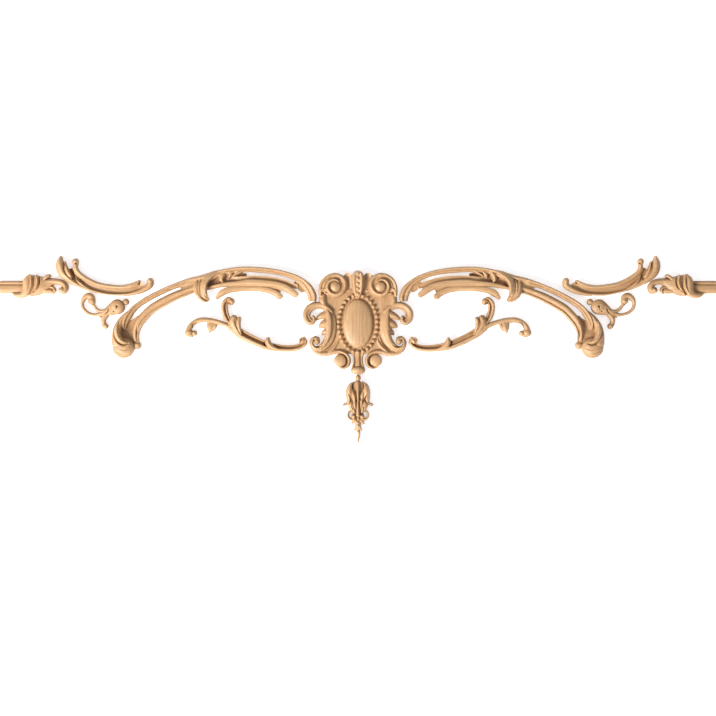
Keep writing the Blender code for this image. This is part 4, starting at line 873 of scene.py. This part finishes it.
# A grid cell's face, by which of its corners 0 to 3 lie inside, as bits: a to d are the cuts on its sides
CELL_SHAPES = {
    1: "0ad", 2: "1ba", 4: "2cb", 8: "3dc", 3: "01bd", 6: "12ca", 12: "23db", 9: "0ac3",
    7: "012cd", 11: "01bc3", 13: "0ab23", 14: "123da", 5: "0ab2cd", 10: "1bc3da", 15: "0123",
}


def grid_faces(inside, outside, xs, zs):
    """A grid cut along the outline: cut points, the inner point beside each, faces and the rim's edges."""
    rows, columns = inside.shape
    number = np.full(inside.shape, -1)
    number[inside] = np.arange(inside.sum())
    found, spots, owners = {}, [], []
    total = int(inside.sum())
    for name, (dr, dc) in {"along": (0, 1), "up": (1, 0)}.items():
        first = inside[: rows - dr, : columns - dc]
        second = inside[dr:, dc:]
        r, c = np.nonzero(first != second)
        start, end = outside[r, c], outside[r + dr, c + dc]
        share = np.clip(start / (start - end), SLIVER, 1 - SLIVER)
        cut_x = xs[c] + share * dc * (xs[1] - xs[0])
        cut_z = zs[r] + share * dr * (zs[1] - zs[0])
        spots.append(np.stack([cut_x, cut_z], 1))
        owners.append(np.where(first[r, c], number[r, c], number[r + dr, c + dc]))
        found[name] = np.full(inside.shape, -1)
        found[name][r, c] = total + np.arange(len(r))
        total += len(r)
    along, up = found["along"], found["up"]
    slots = {
        "0": number[:-1, :-1], "1": number[:-1, 1:], "2": number[1:, 1:], "3": number[1:, :-1],
        "a": along[:-1, :-1], "b": up[:-1, 1:], "c": along[1:, :-1], "d": up[:-1, :-1],
    }
    offsets = ((0, 0), (0, 1), (1, 1), (1, 0))
    case = sum(inside[r : rows - 1 + r, c : columns - 1 + c] << k for k, (r, c) in enumerate(offsets))
    faces, rim = [], []
    for code, corners in CELL_SHAPES.items():
        here = case == code
        faces.extend(np.stack([slots[k][here] for k in corners], 1).tolist())
        for first, second in zip(corners, corners[1:] + corners[0]):
            if first.isalpha() and second.isalpha():
                rim.append(np.stack([slots[first][here], slots[second][here]], 1))
    return np.concatenate(spots), np.concatenate(owners), faces, np.concatenate(rim)


def flat_back(plan, rim):
    """The rim's points, each point's place among them, and the faces that fill the rim's loops."""
    loop = np.unique(rim)
    place = np.full(len(plan), -1)
    place[loop] = np.arange(len(loop))
    corners = [Vector(p) for p in plan[loop]]
    _, _, found, origin, _, _ = delaunay_2d_cdt(corners, place[rim].tolist(), [], 0, EXACT)
    found = [tuple(origin[i][0] for i in face) for face in found]
    middles = plan[loop][np.array(found)].mean(1)
    start, end = plan[rim[:, 0]], plan[rim[:, 1]]
    chunks = range(0, len(middles), LOOP_CHUNK)
    inner = np.concatenate([within(middles[i : i + LOOP_CHUNK], start, end) for i in chunks])
    return loop, place, [face for face, kept in zip(found, inner) if kept]


def carve(strokes, cell, seed):
    """Points in metres, faces and hollowness of a closed carved body with a flat back."""
    low = np.min([s.box(MARGIN)[0] for s in strokes], 0)
    high = np.max([s.box(MARGIN)[1] for s in strokes], 0)
    xs, zs = np.arange(low[0], high[0] + cell, cell), np.arange(low[1], high[1] + cell, cell)
    grid = np.stack(np.meshgrid(xs, zs), -1)
    shape = grid.shape[:2]
    top, outside = (a.reshape(shape) for a in relief(strokes, grid.reshape(-1, 2)))
    inside = outside < 0
    top = spread(top, inside, SOFTEN)
    near, wide = (wide_mean(top, inside, round(reach / cell)) - top for reach in HOLLOW_REACHES)
    hollow = np.maximum(near, WIDE_SHARE * wide)[inside]
    spots, owners, faces, rim = grid_faces(inside, outside, xs, zs)
    plan = np.concatenate([grid[inside], spots])
    height = np.concatenate([top[inside], relief(strokes, spots)[0]]) + tool_marks(plan, seed)
    loop, place, back_faces = flat_back(plan, rim)
    back = len(plan) + place
    faces.extend(np.stack([rim[:, 1], rim[:, 0], back[rim[:, 0]], back[rim[:, 1]]], 1).tolist())
    faces.extend([len(plan) + i for i in reversed(face)] for face in back_faces)
    front = np.stack([plan[:, 0], -height, plan[:, 1]], 1)
    level = np.zeros(len(loop))
    behind = np.stack([plan[loop, 0], level, plan[loop, 1]], 1)
    return np.concatenate([front, behind]) * SCALE, faces, np.concatenate([hollow, hollow[owners], level])


def in_scene(name, data):
    """A new object, put into the scene."""
    made = bpy.data.objects.new(name, data)
    bpy.context.scene.collection.objects.link(made)
    return made


def build(name, points, faces, hollow, flip):
    """The mesh that stands for the CAD node of that name."""
    if flip:
        points = points * [-1, 1, 1]
        faces = [face[::-1] for face in faces]
    mesh = bpy.data.meshes.new(name + "_carved")
    mesh.from_pydata(points.tolist(), [], faces)
    mesh.shade_smooth()
    mesh.set_sharp_from_angle(angle=math.radians(SHARP_ANGLE))
    mesh.attributes.new("hollow", "FLOAT", "POINT").data.foreach_set("value", hollow.astype(np.float32))
    piece = in_scene(name + "_carved", mesh)
    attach(piece, "root")
    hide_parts(name)
    return piece


class Nodes:
    """Adds shader nodes to a material and wires them up."""

    def __init__(self, material):
        material.use_nodes = True
        self.tree = material.node_tree
        self.shader = self.tree.nodes["Principled BSDF"]

    def add(self, kind, inputs=(), **settings):
        """A new node's first output, with its inputs put in place by name or number."""
        node = self.tree.nodes.new("ShaderNode" + kind)
        for key, value in settings.items():
            setattr(node, key, value)
        for key, value in dict(inputs).items():
            self.put(value, node.inputs[key])
        return node.outputs[0]

    def put(self, value, socket):
        """Sets a socket to a constant, or links it to another node's output."""
        if isinstance(value, bpy.types.NodeSocket):
            self.tree.links.new(value, socket)
        else:
            socket.default_value = value

    def math(self, operation, *values):
        return self.add("Math", enumerate(values), operation=operation)

    def noise(self, place, detail=2.0, roughness=0.5):
        settings = {"Vector": place, "Scale": 1.0, "Detail": detail, "Roughness": roughness}
        return self.add("TexNoise", settings)

    def remap(self, value, low, high, to_low, to_high):
        """The value carried from one range to another and kept inside it."""
        return self.add("MapRange", enumerate((value, low, high, to_low, to_high)))

    def blend(self, share, first, second):
        """The first colour with a share of the second over it."""
        return self.add("Mix", {0: share, 6: first, 7: second}, data_type="RGBA").node.outputs[2]

    def shade(self, values):
        """Sets the shader's own inputs by name."""
        for key, value in values.items():
            self.put(value, self.shader.inputs[key])


def wood_patterns(nodes, place):
    """The late wood of the growth rings, the streaks, the fine grain, the clouds and the pores."""

    def stretched(across, along):
        return nodes.add("Mapping", {"Vector": place, "Scale": (along, across, across)})

    bend = nodes.math("MULTIPLY", nodes.noise(stretched(*BEND_GRAIN)), RING_BEND)
    from_centre = nodes.add("VectorMath", {0: stretched(1, 0)}, operation="LENGTH").node.outputs["Value"]
    ring = nodes.math("FRACT", nodes.math("DIVIDE", nodes.math("ADD", from_centre, bend), RING_PITCH))
    late = nodes.math("POWER", ring, LATE_POWER)
    streak = nodes.noise(stretched(*STREAK_GRAIN), 3.0, 0.66)
    fine = nodes.noise(stretched(*FINE_GRAIN), 2.0, 0.6)
    cloud = nodes.noise(stretched(*CLOUD_GRAIN))
    pores = nodes.remap(nodes.noise(stretched(*PORE_GRAIN), 1.0), 0.3, 0.42, 1.0, 0.0)
    return late, streak, fine, cloud, pores


def wood_colour(nodes, late, streak, fine, cloud, pores):
    """The patterns' colours, with painted shade darkening the hollows, and paler worn crests."""
    tone = nodes.remap(streak, 0.34, 0.66, 0.0, STREAK_SHARE)
    tone = nodes.math("ADD", tone, nodes.remap(fine, 0.3, 0.7, 0.0, FINE_SHARE))
    colour = nodes.blend(tone, DARK_STREAK, LIGHT_STREAK)
    colour = nodes.blend(nodes.math("MULTIPLY", late, LATE_SHARE), colour, LATE_WOOD)
    colour = nodes.blend(nodes.remap(cloud, 0.36, 0.64, 0.0, CLOUD_SHARE), colour, CLOUD)
    colour = nodes.blend(nodes.math("MULTIPLY", pores, PORE_SHARE), colour, PORE)
    hollow = nodes.add("Attribute", attribute_name="hollow").node.outputs["Fac"]
    # Painted shade: the colour turns to dark warm brown the deeper a point lies below its surroundings
    colour = nodes.blend(nodes.remap(hollow, 0.4, 6.0, 0.0, PAINTED_SHADE_SHARE), colour, PAINTED_SHADE_COLOUR)
    return nodes.blend(nodes.remap(hollow, -0.6, -4.5, 0.0, WORN_SHARE), colour, WORN)


def carved_wood(name, upright, shift):
    """Waxed light hardwood: growth rings cut through by the carving, streaks, pores and painted warm shade
    in the hollows.
    """
    material = bpy.data.materials.new(name)
    nodes = Nodes(material)
    turn = (0, math.pi / 2, 0) if upright else (0, 0, 0)
    local = nodes.add("TexCoord").node.outputs["Object"]
    place = nodes.add("Mapping", {"Vector": local, "Rotation": turn, "Location": shift})
    patterns = wood_patterns(nodes, place)
    late, streak, fine, _, pores = patterns
    grain = nodes.math("ADD", nodes.math("MULTIPLY", streak, 0.5), fine)
    lift = nodes.math("SUBTRACT", grain, nodes.math("ADD", pores, nodes.math("MULTIPLY", late, 0.35)))
    bump = nodes.add("Bump", {"Height": lift, "Strength": BUMP_STRENGTH, "Distance": BUMP_DEPTH})
    nodes.shade({
        "Base Color": wood_colour(nodes, *patterns),
        "Roughness": nodes.remap(streak, 0.2, 0.8, ROUGH_DARK, ROUGH_LIGHT),
        "Specular IOR Level": WOOD_SHINE,
        "Normal": bump,
    })
    return material


def plain(name, colour, glow=0.0, one_sided=False):
    """A matt stage colour, see-through from behind where one_sided."""
    material = bpy.data.materials.new(name)
    nodes = Nodes(material)
    nodes.shade({
        "Base Color": colour,
        "Roughness": STAGE_ROUGHNESS,
        "Specular IOR Level": STAGE_SHINE,
        "Emission Color": colour,
        "Emission Strength": glow,
    })
    if one_sided:
        behind = nodes.add("NewGeometry").node.outputs["Backfacing"]
        clear = nodes.add("BsdfTransparent")
        mixed = nodes.add("MixShader", {0: behind, 1: nodes.shader.outputs[0], 2: clear})
        nodes.put(mixed, nodes.tree.nodes["Material Output"].inputs["Surface"])
    return material


def sheet(name, corner, across, up, material):
    """A flat stage surface from one corner and its two sides."""
    corner, across, up = Vector(corner), Vector(across), Vector(up)
    mesh = bpy.data.meshes.new(name)
    mesh.from_pydata([corner, corner + across, corner + across + up, corner + up], [], [(0, 1, 2, 3)])
    mesh.materials.append(material)
    surface = in_scene(name, mesh)


def lamp(name, place, size, power, colour):
    """A round soft lamp that faces the middle of the carving."""
    light = bpy.data.lights.new(name, "AREA")
    light.shape = "DISK"
    light.size = size
    light.energy = power
    light.color = colour
    holder = in_scene(name, light)
    holder.location = place
    holder.rotation_euler = (-Vector(place)).to_track_quat("-Z", "Y").to_euler()


def aim_camera():
    """The camera straight in front, so that the photograph's frame is the part's length."""
    view = bpy.data.cameras.new("camera")
    view.angle = 2 * math.atan(ROD_END * SCALE / CAMERA_AWAY)
    holder = in_scene("camera", view)
    holder.location = (0, -CAMERA_AWAY, CAMERA_Z * SCALE)
    holder.rotation_euler = (math.pi / 2, 0, 0)
    bpy.context.scene.camera = holder


def light_studio():
    """A soft key lamp from low on the left, a weak fill and a pale surround."""
    lamp("key", KEY_PLACE, KEY_SIZE, KEY_POWER, KEY_COLOUR)
    lamp("fill", FILL_PLACE, FILL_SIZE, FILL_POWER, FILL_COLOUR)
    world = bpy.data.worlds.new("surround")
    world.use_nodes = True
    sky = world.node_tree.nodes["Background"]
    sky.inputs["Color"].default_value = SURROUND
    sky.inputs["Strength"].default_value = SURROUND_POWER
    bpy.context.scene.world = world
    bpy.context.scene.view_settings.view_transform = "Standard"


def set_stage():
    """A pale wall behind the carving, see-through from its back, and a floor."""
    across = (2 * STAGE_HALF, 0, 0)
    paint = plain("wall_paint", WALL_COLOUR, WALL_GLOW, one_sided=True)
    sheet("wall", (-STAGE_HALF, WALL_Y, FLOOR_Z), across, (0, 0, WALL_TOP - FLOOR_Z), paint)
    paint = plain("floor_paint", FLOOR_COLOUR)
    sheet("floor", (-STAGE_HALF, FLOOR_NEAR, FLOOR_Z), across, (0, FLOOR_FAR - FLOOR_NEAR, 0), paint)


# Each design's strokes, its cuts and its grid cell in millimetres
DESIGNS = {
    "arm": (arm, arm_cuts, 0.7),
    "vine": (vine, vine_cuts, 0.55),
    "trough": (trough, trough_cuts, 0.55),
    "comma": (comma, comma_cuts, 0.55),
    "rod_end": (rod_end, rod_end_cuts, 0.55),
    "cartouche": (cartouche, cartouche_cuts, 0.65),
    "pendant": (pendant, pendant_cuts, 0.45),
}
for seed, (part, (design, cuts, cell)) in enumerate(DESIGNS.items()):
    paired = part not in ("cartouche", "pendant")
    points, faces, hollow = carve(design() + cuts(), cell, seed)
    for name in (part + "_left", part + "_right") if paired else (part,):
        piece = build(name, points, faces, hollow, flip=name.endswith("_left"))
        along = BOARD_STEP * seed + SIDE_STEP * name.endswith("_left")
        shift = (along, RING_CENTRE_Y, RING_CENTRE_Z + RING_STEP * seed)
        piece.data.materials.append(carved_wood(name + "_wood", not paired, shift))

aim_camera()
light_studio()
set_stage()
